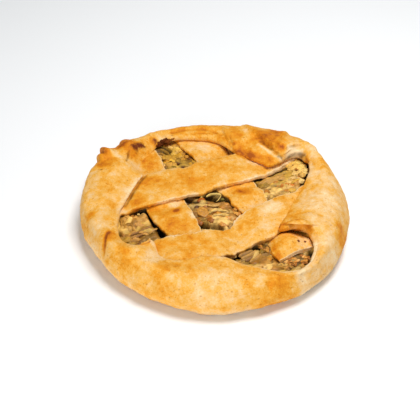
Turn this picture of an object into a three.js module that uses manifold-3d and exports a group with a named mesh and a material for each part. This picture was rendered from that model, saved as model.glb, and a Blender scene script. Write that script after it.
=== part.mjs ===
// A round vegetable tart: a crust folded in over its own edge, four strips of dough laid crosswise,
// and the baked filling that shows between them.
// Millimetres, +Z up, origin on the floor under the middle of the tart.
import * as THREE from "three";
import { mergeVertices } from "three/addons/utils/BufferGeometryUtils.js";
import Module from "manifold-3d";

const wasm = await Module();
wasm.setup();
const { degToRad, euclideanModulo, lerp, smoothstep } = THREE.MathUtils;

// Driving dimensions of the whole.
const OUTER_RADIUS = 110; // the outline at its widest level
const FLOOR_THICKNESS = 5; // the crust under the filling
const WALL_THICKNESS = 10; // the crust beside the filling, two layers of dough
const STRIP_THICKNESS = 4.4;
const STRIP_BED = 20; // the level that the strips lie on at the wall
const BED_DOME = 2.2; // how much higher they lie in the middle
const CROSSING_PRESS = 2.4; // how far a crossing is pressed down into the filling
const CROSSING_EASE = [2, 16]; // the stretch outside a lower strip over which an upper one comes down
const CORE_LEVEL = 17.2; // top of the bare filling at the wall
const PIECE_DEPTH = 15; // the level inside the filling that its pieces stand on
const TRIM_RADIUS = 95; // the strips are trimmed to this circle before the rim is folded over them
const GAP = 0.4; // clearance between neighbouring pieces

// How finely the solids are faceted.
const RIM_STATIONS = 128;
const STEPS_PER_SPAN = 2;
const STRIP_STEPS = 28;
const CORE_STATIONS = 56;

// The turns of the folded rim, by the direction of its outline in degrees: the radius of its free edge
// and how many degrees that leans aside, the height of the crest, and the top and underside of the free
// edge. The rim eases from each turn to the next.
const RIM_TURNS = [
  // Flap over the end of the front strip.
  { at: -12, inner: 59, lean: -11, crest: 35, lip: 32.4, under: 29 },
  // Corner of the right-hand window.
  { at: 39, inner: 95, lean: 0, crest: 33.5, lip: 31.5, under: 26.5 },
  // Broad fold over the end of the back strip.
  { at: 46, inner: 65, lean: 0, crest: 34.5, lip: 32.4, under: 29.2 },
  { at: 66, inner: 58, lean: 0, crest: 34, lip: 32.4, under: 29.2 },
  { at: 96, inner: 86, lean: 0, crest: 32, lip: 30.2, under: 25.6 },
  { at: 111, inner: 92, lean: 0, crest: 32, lip: 30.2, under: 25.6 },
  // Corner of the back window.
  { at: 120, inner: 96, lean: 0, crest: 32.5, lip: 30.4, under: 26 },
  { at: 138, inner: 79, lean: 0, crest: 34, lip: 28.6, under: 26 },
  // Over the other end of the back strip.
  { at: 156, inner: 65, lean: 0, crest: 34, lip: 31.8, under: 28.9 },
  { at: 172, inner: 64.5, lean: 0, crest: 34, lip: 31.8, under: 28.6 },
  // Left-hand window.
  { at: 214, inner: 89, lean: 0, crest: 32.5, lip: 31, under: 26 },
  { at: 231, inner: 72, lean: 0, crest: 32.5, lip: 30.6, under: 28 },
  { at: 241, inner: 76, lean: 0, crest: 32.5, lip: 30.4, under: 28 },
  { at: 258, inner: 77, lean: 0, crest: 32, lip: 30.2, under: 28.2 },
  { at: 272, inner: 74, lean: 0, crest: 31, lip: 29, under: 26 },
  // The rim only stands up round the front windows.
  { at: 307, inner: 102, lean: 0, crest: 26.5, lip: 25, under: 21 },
  { at: 327, inner: 94, lean: 0, crest: 31, lip: 29.4, under: 25.6 },
  { at: 334, inner: 86, lean: 0, crest: 33, lip: 31, under: 28 },
  { at: 341, inner: 64, lean: -13, crest: 35, lip: 32.4, under: 29 },
];

// Where the outline swells or draws in: direction and half-width in degrees, and how far out.
const SWELLS = [
  { at: 16, spread: 20, out: 1.5 },
  { at: 98, spread: 30, out: -1.5 },
  { at: 162, spread: 18, out: 2.5 },
  { at: 222, spread: 36, out: -4 },
  { at: 322, spread: 26, out: 2.5 },
];

// Overlapping folds of the rim. The dough on the left of the way from start to end stands up by rise
// along that line and falls away over run.
const FOLDS = [
  { start: [-101, 71], end: [-86, 40], rise: 11, run: 10 },
  { start: [-84, 78], end: [-70, 46], rise: 7, run: 12 },
  { start: [4, 94], end: [16, 60], rise: 2.5, run: 12 },
  { start: [29, 88], end: [58, 44], rise: 3.5, run: 14 },
  { start: [54, 58], end: [67, 86], rise: 4.5, run: 14 },
  { start: [-36, -70], end: [-22, -88], rise: 2, run: 12 },
];

// The strips: the points that the middle of each runs through, and its widths evenly spaced from end
// to end.
const LOWER_STRIPS = [
  {
    name: "strip_cross_left",
    middle: [[-79, 92], [-61, 49], [-38, -10], [-14, -66], [-5, -92]],
    widths: [33, 33, 33, 32],
  },
  {
    name: "strip_cross_right",
    middle: [[-24, 100], [-1, 59], [17, 21], [47, -36], [63, -66]],
    widths: [36, 31, 33, 34],
  },
];
const UPPER_STRIPS = [
  {
    name: "strip_long_back",
    middle: [[-102, -8], [-60, 9], [0, 32.5], [30, 46], [58, 67], [70, 82]],
    widths: [38, 39, 37, 24],
  },
  {
    name: "strip_long_front",
    middle: [[-82, -76], [-38, -62], [11, -50], [40, -29], [88, 8]],
    widths: [26, 29, 35, 38],
  },
];

// A strip's section, walked round counter-clockwise: across as a share of its half-width, and up from
// its underside.
const STRIP_SECTION = [
  [-0.93, 0],
  [0, 0],
  [0.93, 0],
  [1, 0.3 * STRIP_THICKNESS],
  [0.985, 0.7 * STRIP_THICKNESS],
  [0.9, 0.97 * STRIP_THICKNESS],
  [0.45, STRIP_THICKNESS],
  [-0.45, STRIP_THICKNESS],
  [-0.9, 0.97 * STRIP_THICKNESS],
  [-0.985, 0.7 * STRIP_THICKNESS],
  [-1, 0.3 * STRIP_THICKNESS],
];

// The section of the room that a strip takes out of the filling, open at the top.
const ROOM_SECTION = [[-1, -GAP], [0, -GAP], [1, -GAP], [1, STRIP_BED], [0, STRIP_BED], [-1, STRIP_BED]];

// Pieces of vegetable that show in the windows: middle in plan, length, width, height and turn in
// degrees. The first of each window is the mass that the others lie in.
const PIECES = {
  back: [
    [-38, 66, 24, 36, 7, 22],
    [-45, 70, 17, 12, 9.5, 20],
    [-33, 62, 13, 11, 9, 0],
    [-26, 67, 7, 13, 8.5, 30],
  ],
  right: [
    [62, 28, 40, 26, 7.5, 45],
    [68, 49, 9, 8, 10, 0],
    [76, 41, 8, 7, 9.5, 0],
    [61, 37, 7, 6, 9, 0],
    [50, 25, 20, 8, 9, 30],
    [68, 28, 13, 11, 9.5, 20],
    [58, 19, 9, 8, 9, 0],
    [62, 11, 9, 7, 9, 0],
  ],
  left: [
    [-62, -33, 30, 36, 7.5, 20],
    [-66, -26, 12, 21, 10.5, 0],
    [-74, -27, 8, 14, 9.5, 0],
    [-56, -24, 11, 15, 10, 0],
    [-57, -38, 16, 8, 9.5, 20],
    [-63, -46, 13, 7, 9, 0],
    [-44, -45, 6, 7, 9, 0],
  ],
  middle: [
    [0, -10, 28, 38, 7.5, 25],
    [-1, 3, 10, 8, 9, 0],
    [-5, -4, 9, 6, 9, 10],
    [2, -8, 12, 6, 10, 0],
    [-10, -15, 8, 11, 10, 20],
    [-4, -20, 8, 11, 10, 0],
    [4, -21, 10, 10, 10, 0],
    [9, -11, 8, 8, 10, 0],
    [-16, -7, 5, 10, 9, 20],
  ],
  front: [
    [32, -66, 32, 12, 7, 22],
    [30, -62, 11, 8, 8.5, 25],
    [37, -66, 8, 6, 8.5, 25],
    [23, -67, 8, 5, 8, 15],
  ],
  corner: [
    [63, -72, 24, 11, 5.5, 35],
    [64, -70, 13, 8, 7, 30],
    [57, -74, 7, 7, 7, 0],
    [70, -68, 7, 6, 7, 0],
  ],
};

const CRUST_FINISH = { color: "#e2a14e", roughness: 0.75, metalness: 0 };
const STRIP_FINISH = { color: "#e8ad58", roughness: 0.75, metalness: 0 };
const FILLING_FINISH = { color: "#a8823f", roughness: 0.6, metalness: 0 };

// The signed turn from one direction to another, in degrees.
function turnBetween(from, to) {
  return euclideanModulo(to - from + 180, 360) - 180;
}

// A point of the plan in a direction.
function polar(degrees, radius) {
  return new THREE.Vector2(Math.cos(degToRad(degrees)), Math.sin(degToRad(degrees))).multiplyScalar(radius);
}

// The outline's radius in a direction, at its widest level.
function outerAt(degrees) {
  const bulge = ({ at, spread, out }) => out * Math.exp(-((turnBetween(at, degrees) / spread) ** 2));
  return SWELLS.reduce((radius, swell) => radius + bulge(swell), OUTER_RADIUS);
}

// The rim in a direction, eased between the turns on either side.
function rimAt(degrees) {
  const past = RIM_TURNS.map((turn) => euclideanModulo(degrees - turn.at, 360));
  const i = past.indexOf(Math.min(...past));
  const from = RIM_TURNS[i];
  const to = RIM_TURNS[(i + 1) % RIM_TURNS.length];
  const share = smoothstep(past[i] / euclideanModulo(to.at - from.at, 360), 0, 1);
  return Object.fromEntries(Object.keys(from).map((key) => [key, lerp(from[key], to[key], share)]));
}

// The point of the rim's free edge that belongs to a direction of the outline.
function freeEdge(degrees) {
  const { inner, lean } = rimAt(degrees);
  return polar(degrees + lean, inner);
}

// How far the overlapping folds stand out of the rim at a point of the plan.
function foldLift(x, y) {
  let lift = 0;
  for (const { start, end, rise, run } of FOLDS) {
    const length = Math.hypot(end[0] - start[0], end[1] - start[1]);
    const ux = (end[0] - start[0]) / length;
    const uy = (end[1] - start[1]) / length;
    const along = (x - start[0]) * ux + (y - start[1]) * uy;
    const beside = (y - start[1]) * ux - (x - start[0]) * uy;
    const ends = smoothstep(along, -run, 0) * (1 - smoothstep(along, length - run, length));
    lift += rise * ends * smoothstep(beside, -3, 3) * Math.exp(-Math.max(beside, 0) / run);
  }
  return lift;
}

// A closed surface over rings of points that all have the same count. A point closes it at each end.
function geometryFromRings(rings, firstPoint, lastPoint) {
  const count = rings[0].length;
  const position = [firstPoint, ...rings.flat(), lastPoint].flatMap((p) => [p.x, p.y, p.z]);
  const lastRing = 1 + (rings.length - 1) * count;
  const index = [];
  for (let j = 0; j < count; j++) {
    const k = (j + 1) % count;
    index.push(0, 1 + k, 1 + j);
    for (let a = 1; a < lastRing; a += count) {
      const b = a + count;
      index.push(a + j, a + k, b + k, a + j, b + k, b + j);
    }
    index.push(lastRing + j, lastRing + k, lastRing + count);
  }
  const geometry = new THREE.BufferGeometry();
  geometry.setAttribute("position", new THREE.Float32BufferAttribute(position, 3));
  geometry.setIndex(index);
  return geometry;
}

// A geometry as a solid that can be joined and cut.
function solidFrom(geometry) {
  const bare = new THREE.BufferGeometry();
  bare.setAttribute("position", geometry.getAttribute("position"));
  bare.setIndex(geometry.getIndex());
  const merged = mergeVertices(bare, 1e-4);
  const vertProperties = Float32Array.from(merged.getAttribute("position").array);
  const triVerts = Uint32Array.from(merged.getIndex().array);
  return new wasm.Manifold(new wasm.Mesh({ numProp: 3, vertProperties, triVerts }));
}

// The geometry of a joined or cut solid.
function geometryFrom(solid) {
  const { vertProperties, triVerts } = solid.getMesh();
  const geometry = new THREE.BufferGeometry();
  geometry.setAttribute("position", new THREE.BufferAttribute(Float32Array.from(vertProperties), 3));
  geometry.setIndex(new THREE.BufferAttribute(Uint32Array.from(triVerts), 1));
  return geometry;
}

// Directions round the rim in degrees, spaced evenly along its free edge and its outline together.
function rimDirections(count) {
  const fine = 1440;
  const edges = Array.from({ length: fine + 1 }, (_, i) => {
    const degrees = (i * 360) / fine;
    return [freeEdge(degrees), polar(degrees, outerAt(degrees))];
  });
  const run = [0];
  for (let i = 0; i < fine; i++) {
    const step = edges[i].map((point, side) => point.distanceTo(edges[i + 1][side]));
    run.push(run[i] + step[0] + step[1]);
  }
  const directions = [];
  let i = 0;
  for (let k = 0; k < count; k++) {
    const wanted = (run[fine] * k) / count;
    while (run[i + 1] <= wanted) {
      i++;
    }
    directions.push(((i + (wanted - run[i]) / (run[i + 1] - run[i])) * 360) / fine);
  }
  return directions;
}

// The section of the crust in a direction: up from the foot, over the crest, round the free edge and
// down inside.
function crustSection(degrees) {
  const { inner, crest, lip, under } = rimAt(degrees);
  const outer = outerAt(degrees);
  const width = outer - inner;
  const round = Math.min(2.4, width / 4);
  const out = polar(degrees, 1);
  const edge = freeEdge(degrees);
  const along = freeEdge(degrees + 0.25).sub(freeEdge(degrees - 0.25));
  const into = new THREE.Vector2(along.y, -along.x).normalize();
  const radial = (r, z) => new THREE.Vector3(out.x * r, out.y * r, z);
  const beside = (d, z) => new THREE.Vector3(edge.x + into.x * d, edge.y + into.y * d, z);
  const between = (share, z) => radial(outer, z).lerp(beside(0, z), share);
  const shown = new THREE.CatmullRomCurve3([
    radial(outer - 12, 0),
    radial(outer - 4.6, 2.4),
    radial(outer, crest * 0.42),
    radial(outer - 0.06 * width - 1, crest * 0.66),
    radial(outer - 0.18 * width - 2, crest * 0.89),
    between(0.47, crest),
    between(0.72, lerp(crest, lip, 0.45)),
    beside(round, lip),
    beside(0, lerp(lip, under, 0.5)),
    beside(round, under),
  ]);
  const steps = 9 * STEPS_PER_SPAN;
  const points = shown.getPoints(steps);
  for (let i = 1; i <= 7 * STEPS_PER_SPAN; i++) {
    const tangent = shown.getTangent(i / steps);
    const slope = tangent.x * out.x + tangent.y * out.y;
    const normal = new THREE.Vector3(out.x * tangent.z, out.y * tangent.z, -slope).normalize();
    const share = smoothstep(points[i].z, 0.3 * crest, 0.85 * crest);
    points[i].addScaledVector(normal, share * foldLift(points[i].x, points[i].y));
  }
  const wall = outer - WALL_THICKNESS;
  points.push(radial(Math.max(inner + round + 1, wall), under - 0.5));
  points.push(radial(wall, STRIP_BED / 2));
  points.push(radial(wall - 3, FLOOR_THICKNESS));
  return points;
}

function makeCrust() {
  const sections = rimDirections(RIM_STATIONS).map(crustSection);
  const rings = sections[0].map((_, i) => sections.map((section) => section[i]));
  return geometryFromRings(rings, new THREE.Vector3(0, 0, 0), new THREE.Vector3(0, 0, FLOOR_THICKNESS));
}

// Points along the middle of a strip, each with its half-width and the way across.
function stripLine(strip, steps) {
  const curve = new THREE.CatmullRomCurve3(strip.middle.map(([x, y]) => new THREE.Vector3(x, y, 0)));
  return Array.from({ length: steps + 1 }, (_, i) => {
    const place = (i / steps) * (strip.widths.length - 1);
    const k = Math.min(Math.floor(place), strip.widths.length - 2);
    const tangent = curve.getTangentAt(i / steps);
    return {
      point: curve.getPointAt(i / steps),
      across: new THREE.Vector3(-tangent.y, tangent.x, 0),
      half: lerp(strip.widths[k], strip.widths[k + 1], smoothstep(place - k, 0, 1)) / 2,
    };
  });
}

const LOWER_LINE = LOWER_STRIPS.flatMap((strip) => stripLine(strip, 120));
const UPPER_LINE = UPPER_STRIPS.flatMap((strip) => stripLine(strip, 120));

// How fully a point of the plan is covered by some strips, from 1 on a strip to 0 well outside it.
function cover(line, x, y) {
  let outside = Infinity;
  for (const { point, half } of line) {
    outside = Math.min(outside, Math.hypot(x - point.x, y - point.y) - half);
  }
  return 1 - smoothstep(outside, ...CROSSING_EASE);
}

// The level that a lower strip lies on: a low dome, pressed down where an upper strip crosses.
function bedLevel(x, y) {
  const reach = Math.min(1, Math.hypot(x, y) / TRIM_RADIUS);
  const press = CROSSING_PRESS * cover(LOWER_LINE, x, y) * cover(UPPER_LINE, x, y);
  return STRIP_BED + BED_DOME * (1 - reach * reach) - press;
}

// A strip as a solid with a given section, its edges and ends moved out by some margin.
function stripSolid(strip, section, margin) {
  const upper = UPPER_STRIPS.includes(strip);
  const rings = stripLine(strip, STRIP_STEPS).map(({ point, across, half }) =>
    section.map(([side, up]) => {
      const p = point.clone().addScaledVector(across, side * (half + margin));
      const lift = upper ? cover(LOWER_LINE, p.x, p.y) * (STRIP_THICKNESS + GAP) : 0;
      return p.setZ(bedLevel(p.x, p.y) + GAP + lift + up);
    }),
  );
  const total = (ring) => ring.reduce((sum, p) => sum.add(p), new THREE.Vector3());
  const middleOf = (ring) => total(ring).divideScalar(ring.length);
  const whole = solidFrom(geometryFromRings(rings, middleOf(rings[0]), middleOf(rings.at(-1))));
  const disc = new THREE.CylinderGeometry(TRIM_RADIUS + margin, TRIM_RADIUS + margin, 5 * STRIP_BED, 72);
  return whole.intersect(solidFrom(disc.rotateX(Math.PI / 2)));
}

// A ring of the bare filling, set in from the crust's wall.
function coreRing(inset, z) {
  return Array.from({ length: CORE_STATIONS }, (_, j) => {
    const degrees = (j * 360) / CORE_STATIONS;
    const p = polar(degrees, outerAt(degrees) - WALL_THICKNESS - inset);
    return new THREE.Vector3(p.x, p.y, z);
  });
}

// The bare filling, with the pieces that show in the windows joined on and cut clear of the strips.
function makeFilling() {
  const floor = FLOOR_THICKNESS + GAP;
  const rings = [
    coreRing(5, floor),
    coreRing(2, STRIP_BED / 2),
    coreRing(2.5, CORE_LEVEL - 2),
    coreRing(6, CORE_LEVEL),
    coreRing(45, CORE_LEVEL + 1),
  ];
  const top = new THREE.Vector3(0, 0, CORE_LEVEL + BED_DOME);
  let filling = solidFrom(geometryFromRings(rings, new THREE.Vector3(0, 0, floor), top));
  for (const [x, y, length, width, height, turn] of Object.values(PIECES).flat()) {
    const piece = new THREE.IcosahedronGeometry(0.5, 1).scale(length, width, height);
    piece.rotateZ(degToRad(turn)).translate(x, y, PIECE_DEPTH + height / 2);
    filling = filling.add(solidFrom(piece));
  }
  for (const strip of [...LOWER_STRIPS, ...UPPER_STRIPS]) {
    filling = filling.subtract(stripSolid(strip, ROOM_SECTION, GAP));
  }
  return geometryFrom(filling);
}

const tart = new THREE.Group();

function addPiece(name, geometry, finish) {
  const mesh = new THREE.Mesh(geometry, new THREE.MeshStandardMaterial(finish));
  mesh.name = name;
  tart.add(mesh);
}

addPiece("crust", makeCrust(), CRUST_FINISH);
addPiece("filling", makeFilling(), FILLING_FINISH);
for (const strip of [...LOWER_STRIPS, ...UPPER_STRIPS]) {
  addPiece(strip.name, geometryFrom(stripSolid(strip, STRIP_SECTION, 0)), STRIP_FINISH);
}

export default tart;
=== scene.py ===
"""A round vegetable tart on a pale floor, in soft studio light.

The crust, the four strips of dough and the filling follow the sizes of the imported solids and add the
relief and finish of the baked food. Sizes are millimetres; a mesh is scaled to metres as it is made.
"""

import logging
import math
from collections.abc import Sequence
from dataclasses import dataclass, field
from enum import Enum

import bpy
import numpy as np
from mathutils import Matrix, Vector


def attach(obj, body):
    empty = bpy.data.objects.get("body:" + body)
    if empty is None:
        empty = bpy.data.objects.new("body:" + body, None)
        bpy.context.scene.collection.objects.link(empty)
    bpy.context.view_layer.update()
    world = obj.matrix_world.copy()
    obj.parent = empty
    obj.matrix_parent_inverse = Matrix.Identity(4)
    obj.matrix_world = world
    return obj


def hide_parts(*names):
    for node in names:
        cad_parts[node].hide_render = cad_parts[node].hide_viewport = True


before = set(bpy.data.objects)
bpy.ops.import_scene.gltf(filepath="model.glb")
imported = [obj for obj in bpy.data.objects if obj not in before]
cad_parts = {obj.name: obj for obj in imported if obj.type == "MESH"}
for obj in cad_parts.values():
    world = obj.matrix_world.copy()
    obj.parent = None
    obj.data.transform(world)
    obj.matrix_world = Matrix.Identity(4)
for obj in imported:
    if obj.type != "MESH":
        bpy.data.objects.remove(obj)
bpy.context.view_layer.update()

MM = 0.001
TINY = 1e-9
FULL_TURN = 360.0
WORD = 0xFFFFFFFF
CELL_FACTORS = (374761393, 668265263, 1440662683)
SEED_FACTOR = 974634541
MIXING = ((15, 2246822519), (13, 3266489917))
LOG = logging.getLogger("tart")
Array = np.ndarray
Row = tuple[float, ...]


def smoothstep(value: Array, low: float, high: float) -> Array:
    """Eased share of the way from low to high, from 0 to 1."""
    share = np.clip((value - low) / (high - low), 0.0, 1.0)
    return share * share * (3.0 - 2.0 * share)


def bell(share: Array) -> Array:
    """Soft bump that is 1 in its middle and falls away on both sides."""
    return np.exp(-(share**2))


def polar(degrees: Array, radius: Array) -> Array:
    """Points of the plan in some directions."""
    angle = np.radians(degrees)
    return np.stack([np.cos(angle) * radius, np.sin(angle) * radius], axis=-1)


def turn_from(degrees: Array, at: float) -> Array:
    """Signed turn in degrees from one direction to others."""
    return np.mod(degrees - at + FULL_TURN / 2, FULL_TURN) - FULL_TURN / 2


def linear(code: str) -> tuple[float, float, float, float]:
    """Turn a screen colour into the linear colour that a shader takes.

    Args:
        code: Colour as six hexadecimal digits.

    Returns:
        Red, green, blue and full opacity.
    """
    parts = [int(code[i : i + 2], 16) / 255 for i in (0, 2, 4)]
    red, green, blue = (c / 12.92 if c <= 0.04045 else ((c + 0.055) / 1.055) ** 2.4 for c in parts)
    return red, green, blue, 1.0


def lattice_value(cell: Array, seed: int) -> Array:
    """Fixed pseudo-random values for the corners of a grid.

    Args:
        cell: Corners as whole numbers, three in the last axis.
        seed: Picks the pattern.

    Returns:
        A value from -1 to 1 for each corner.
    """
    mixed = (cell @ np.array(CELL_FACTORS) + seed * SEED_FACTOR) & WORD
    for shift, factor in MIXING:
        mixed = ((mixed ^ (mixed >> shift)) * factor) & WORD
    return ((mixed ^ (mixed >> 16)) & 0xFFFF) / 32767.5 - 1.0


def noise(points: Array, size: float, seed: int, octaves: int = 1) -> Array:
    """Smooth noise over points of space.

    Args:
        points: Points in millimetres, three numbers in the last axis.
        size: Size of the largest bumps in millimetres.
        seed: Picks the pattern.
        octaves: How many times finer bumps of half the size and height are added.

    Returns:
        Values from about -1 to 1.
    """
    total = np.zeros(points.shape[:-1])
    for octave in range(octaves):
        place = points * (2.0**octave / size)
        cell = np.floor(place).astype(np.int64)
        part = place - cell
        part = part**3 * (part * (part * 6.0 - 15.0) + 10.0)
        for corner in np.ndindex(2, 2, 2):
            weight = np.prod(np.where(corner, part, 1.0 - part), axis=-1)
            total += 0.5**octave * weight * lattice_value(cell + np.array(corner), seed + octave)
    return total


def swirl(points: Array, size: float, seed: int) -> Array:
    """Smooth noise of three parts, to move points about in space."""
    return np.stack([noise(points, size, seed + k, 2) for k in range(3)], axis=-1)


def spline(controls: Array, steps: Sequence[int]) -> Array:
    """Smooth curves through control points.

    Args:
        controls: Control points, counted in the second last axis.
        steps: How many steps each span between two control points takes.

    Returns:
        Points along the curves in the second last axis.
    """
    first = 2.0 * controls[..., :1, :] - controls[..., 1:2, :]
    last = 2.0 * controls[..., -1:, :] - controls[..., -2:-1, :]
    padded = np.concatenate([first, controls, last], axis=-2)
    pieces = []
    for i, count in enumerate(steps):
        p0, p1, p2, p3 = (padded[..., i + k, None, :] for k in range(4))
        d0, d1, d2 = (
            np.sqrt(np.maximum(np.linalg.norm(b - a, axis=-1, keepdims=True), TINY))
            for a, b in ((p0, p1), (p1, p2), (p2, p3))
        )
        t1 = ((p1 - p0) / d0 - (p2 - p0) / (d0 + d1) + (p2 - p1) / d1) * d1
        t2 = ((p2 - p1) / d1 - (p3 - p1) / (d1 + d2) + (p3 - p2) / d2) * d1
        t = (np.arange(count) / count)[:, None]
        pieces.append(
            p1
            + t1 * t
            + (3.0 * (p2 - p1) - 2.0 * t1 - t2) * t**2
            + (2.0 * (p1 - p2) + t1 + t2) * t**3
        )
    pieces.append(controls[..., -1:, :])
    return np.concatenate(pieces, axis=-2)


def evenly(curve: Array, share: Array) -> Array:
    """Points at shares of the length of a curve, which go from 0 to 1."""
    run = np.concatenate([[0.0], np.cumsum(np.linalg.norm(np.diff(curve, axis=0), axis=1))])
    return np.stack([np.interp(share * run[-1], run, column) for column in curve.T], axis=1)


def tilted(tilt: float, turn: float) -> Array:
    """Matrix that leans a piece over and then turns it.

    Args:
        tilt: Lean about the piece's length, in degrees.
        turn: Turn about the upright, in degrees.

    Returns:
        Three rows of three numbers.
    """
    cos_tilt, sin_tilt = math.cos(math.radians(tilt)), math.sin(math.radians(tilt))
    cos_turn, sin_turn = math.cos(math.radians(turn)), math.sin(math.radians(turn))
    lean = np.array([[1, 0, 0], [0, cos_tilt, -sin_tilt], [0, sin_tilt, cos_tilt]])
    spin = np.array([[cos_turn, -sin_turn, 0], [sin_turn, cos_turn, 0], [0, 0, 1]])
    return spin @ lean


def round_curve(at: Sequence[float], table: Array, degrees: Array) -> Array:
    """Smooth closed curve through values given at some directions.

    Args:
        at: Directions in degrees, rising.
        table: A row of values for each direction.
        degrees: Directions to look up.

    Returns:
        A row of values for each direction looked up.
    """
    start = np.array(at, float)
    gap = np.mod(np.roll(start, -1) - start, FULL_TURN)[:, None]
    rate = (np.roll(table, -1, axis=0) - table) / gap
    before, rate_before = np.roll(gap, 1, axis=0), np.roll(rate, 1, axis=0)
    slope = (rate_before * gap + rate * before) / (before + gap)
    past = np.mod(degrees - start[0], FULL_TURN)
    i = np.searchsorted(start - start[0], past, side="right") - 1
    k = (i + 1) % len(start)
    t = ((past - (start[i] - start[0])) / gap[i, 0])[:, None]
    return (
        table[i] * (1 + 2 * t) * (1 - t) ** 2
        + slope[i] * gap[i] * t * (1 - t) ** 2
        + table[k] * t**2 * (3 - 2 * t)
        + slope[k] * gap[i] * t**2 * (t - 1)
    )


def path_distance(plan: Array, path: Sequence[Row]) -> Array:
    """Distance of points of the plan from a broken line.

    Args:
        plan: Points of the plan.
        path: Corners of the line.

    Returns:
        The distance of each point from the nearest part of the line.
    """
    corners = np.array(path, float)
    best = np.full(plan.shape[:-1], np.inf)
    for start, end in zip(corners[:-1], corners[1:]):
        along = end - start
        share = np.clip(((plan - start) @ along) / (along @ along), 0.0, 1.0)
        best = np.minimum(best, np.linalg.norm(plan - start - share[..., None] * along, axis=-1))
    return best


def patches_at(plan: Array, patches: Sequence[Row]) -> Array:
    """Sum of soft round patches.

    Args:
        plan: Points of the plan.
        patches: Patches, each as x, y, radius and strength.

    Returns:
        The strength of all patches together at each point.
    """
    total = np.zeros(plan.shape[:-1])
    for x, y, radius, strength in patches:
        away = (plan[..., 0] - x) ** 2 + (plan[..., 1] - y) ** 2
        total += strength * np.exp(-away / radius**2)
    return total


def outward(grid: Array) -> Array:
    """Normals of a grid of rings.

    Args:
        grid: Rings of points that run round the second axis.

    Returns:
        A unit vector for each point, pointing out of the body.
    """
    around = np.roll(grid, -1, axis=1) - np.roll(grid, 1, axis=1)
    normal = np.cross(around, np.gradient(grid, axis=0))
    return normal / np.maximum(np.linalg.norm(normal, axis=-1, keepdims=True), TINY)


@dataclass(frozen=True)
class Bumps:
    """Low bumps: height and size in millimetres, pattern, and how many finer rounds are added."""

    height: float
    size: float
    seed: int
    octaves: int = 1

    def at(self, points: Array) -> Array:
        """Height of the bumps at some points."""
        return self.height * noise(points, self.size, self.seed, self.octaves)


@dataclass
class Body:
    """Vertices in millimetres, faces, and a number or colour for each vertex by name."""

    vertices: Array
    faces: list[tuple[int, ...]]
    marks: dict[str, Array] = field(default_factory=dict)

    def to_object(self, name: str) -> bpy.types.Object:
        """Make the mesh object in the scene.

        Args:
            name: Name of the piece.

        Returns:
            The new object, smooth shaded.
        """
        mesh = bpy.data.meshes.new(name)
        mesh.from_pydata((self.vertices * MM).tolist(), [], self.faces)
        mesh.polygons.foreach_set("use_smooth", [True] * len(mesh.polygons))
        for key, values in self.marks.items():
            if values.ndim == 1:
                mark = mesh.attributes.new(key, "FLOAT", "POINT")
                mark.data.foreach_set("value", values.astype(np.float32))
            else:
                mark = mesh.attributes.new(key, "FLOAT_COLOR", "POINT")
                opaque = np.concatenate([values, np.ones((len(values), 1))], axis=1)
                mark.data.foreach_set("color", opaque.astype(np.float32).ravel())
        mesh.update()
        made = bpy.data.objects.new(name, mesh)
        bpy.context.scene.collection.objects.link(made)
        return made


def loft(grid: Array, first: Array, last: Array, marks: dict[str, Array] | None = None) -> Body:
    """Close rings of points into a body with a point at each end.

    Args:
        grid: Rings of points, all of the same count.
        first: Point that closes the first ring.
        last: Point that closes the last ring.
        marks: Numbers for each point of the grid, by name.

    Returns:
        The closed body.
    """
    rings, count = grid.shape[:2]
    j = np.arange(count)
    k = (j + 1) % count
    start = 1 + np.arange(rings - 1)[:, None] * count
    quads = np.stack([start + j, start + k, start + count + k, start + count + j], axis=-1)
    final = 1 + (rings - 1) * count
    faces = [tuple(face) for face in quads.reshape(-1, 4).tolist()]
    faces += [(0, 1 + b, 1 + a) for a, b in zip(j.tolist(), k.tolist())]
    faces += [(final + a, final + b, final + count) for a, b in zip(j.tolist(), k.tolist())]
    vertices = np.concatenate([[first], grid.reshape(-1, 3), [last]])
    spread = {}
    for key, values in (marks or {}).items():
        flat = values.reshape(rings * count, *values.shape[2:])
        spread[key] = np.concatenate([flat[:1], flat, flat[-1:]])
    return Body(vertices, faces, spread)


def joined(bodies: Sequence[Body]) -> Body:
    """Put several bodies into one.

    Args:
        bodies: Bodies with the same marks.

    Returns:
        One body that holds them all.
    """
    faces: list[tuple[int, ...]] = []
    base = 0
    for body in bodies:
        faces += [tuple(base + i for i in face) for face in body.faces]
        base += len(body.vertices)
    marks = {key: np.concatenate([b.marks[key] for b in bodies]) for key in bodies[0].marks}
    return Body(np.concatenate([b.vertices for b in bodies]), faces, marks)


@dataclass(frozen=True)
class Grain:
    """Noise of a finish: size in millimetres, how far it moves the colour, detail and roughness."""

    size: float
    gain: float
    detail: float = 2.0
    roughness: float = 0.5


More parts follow.
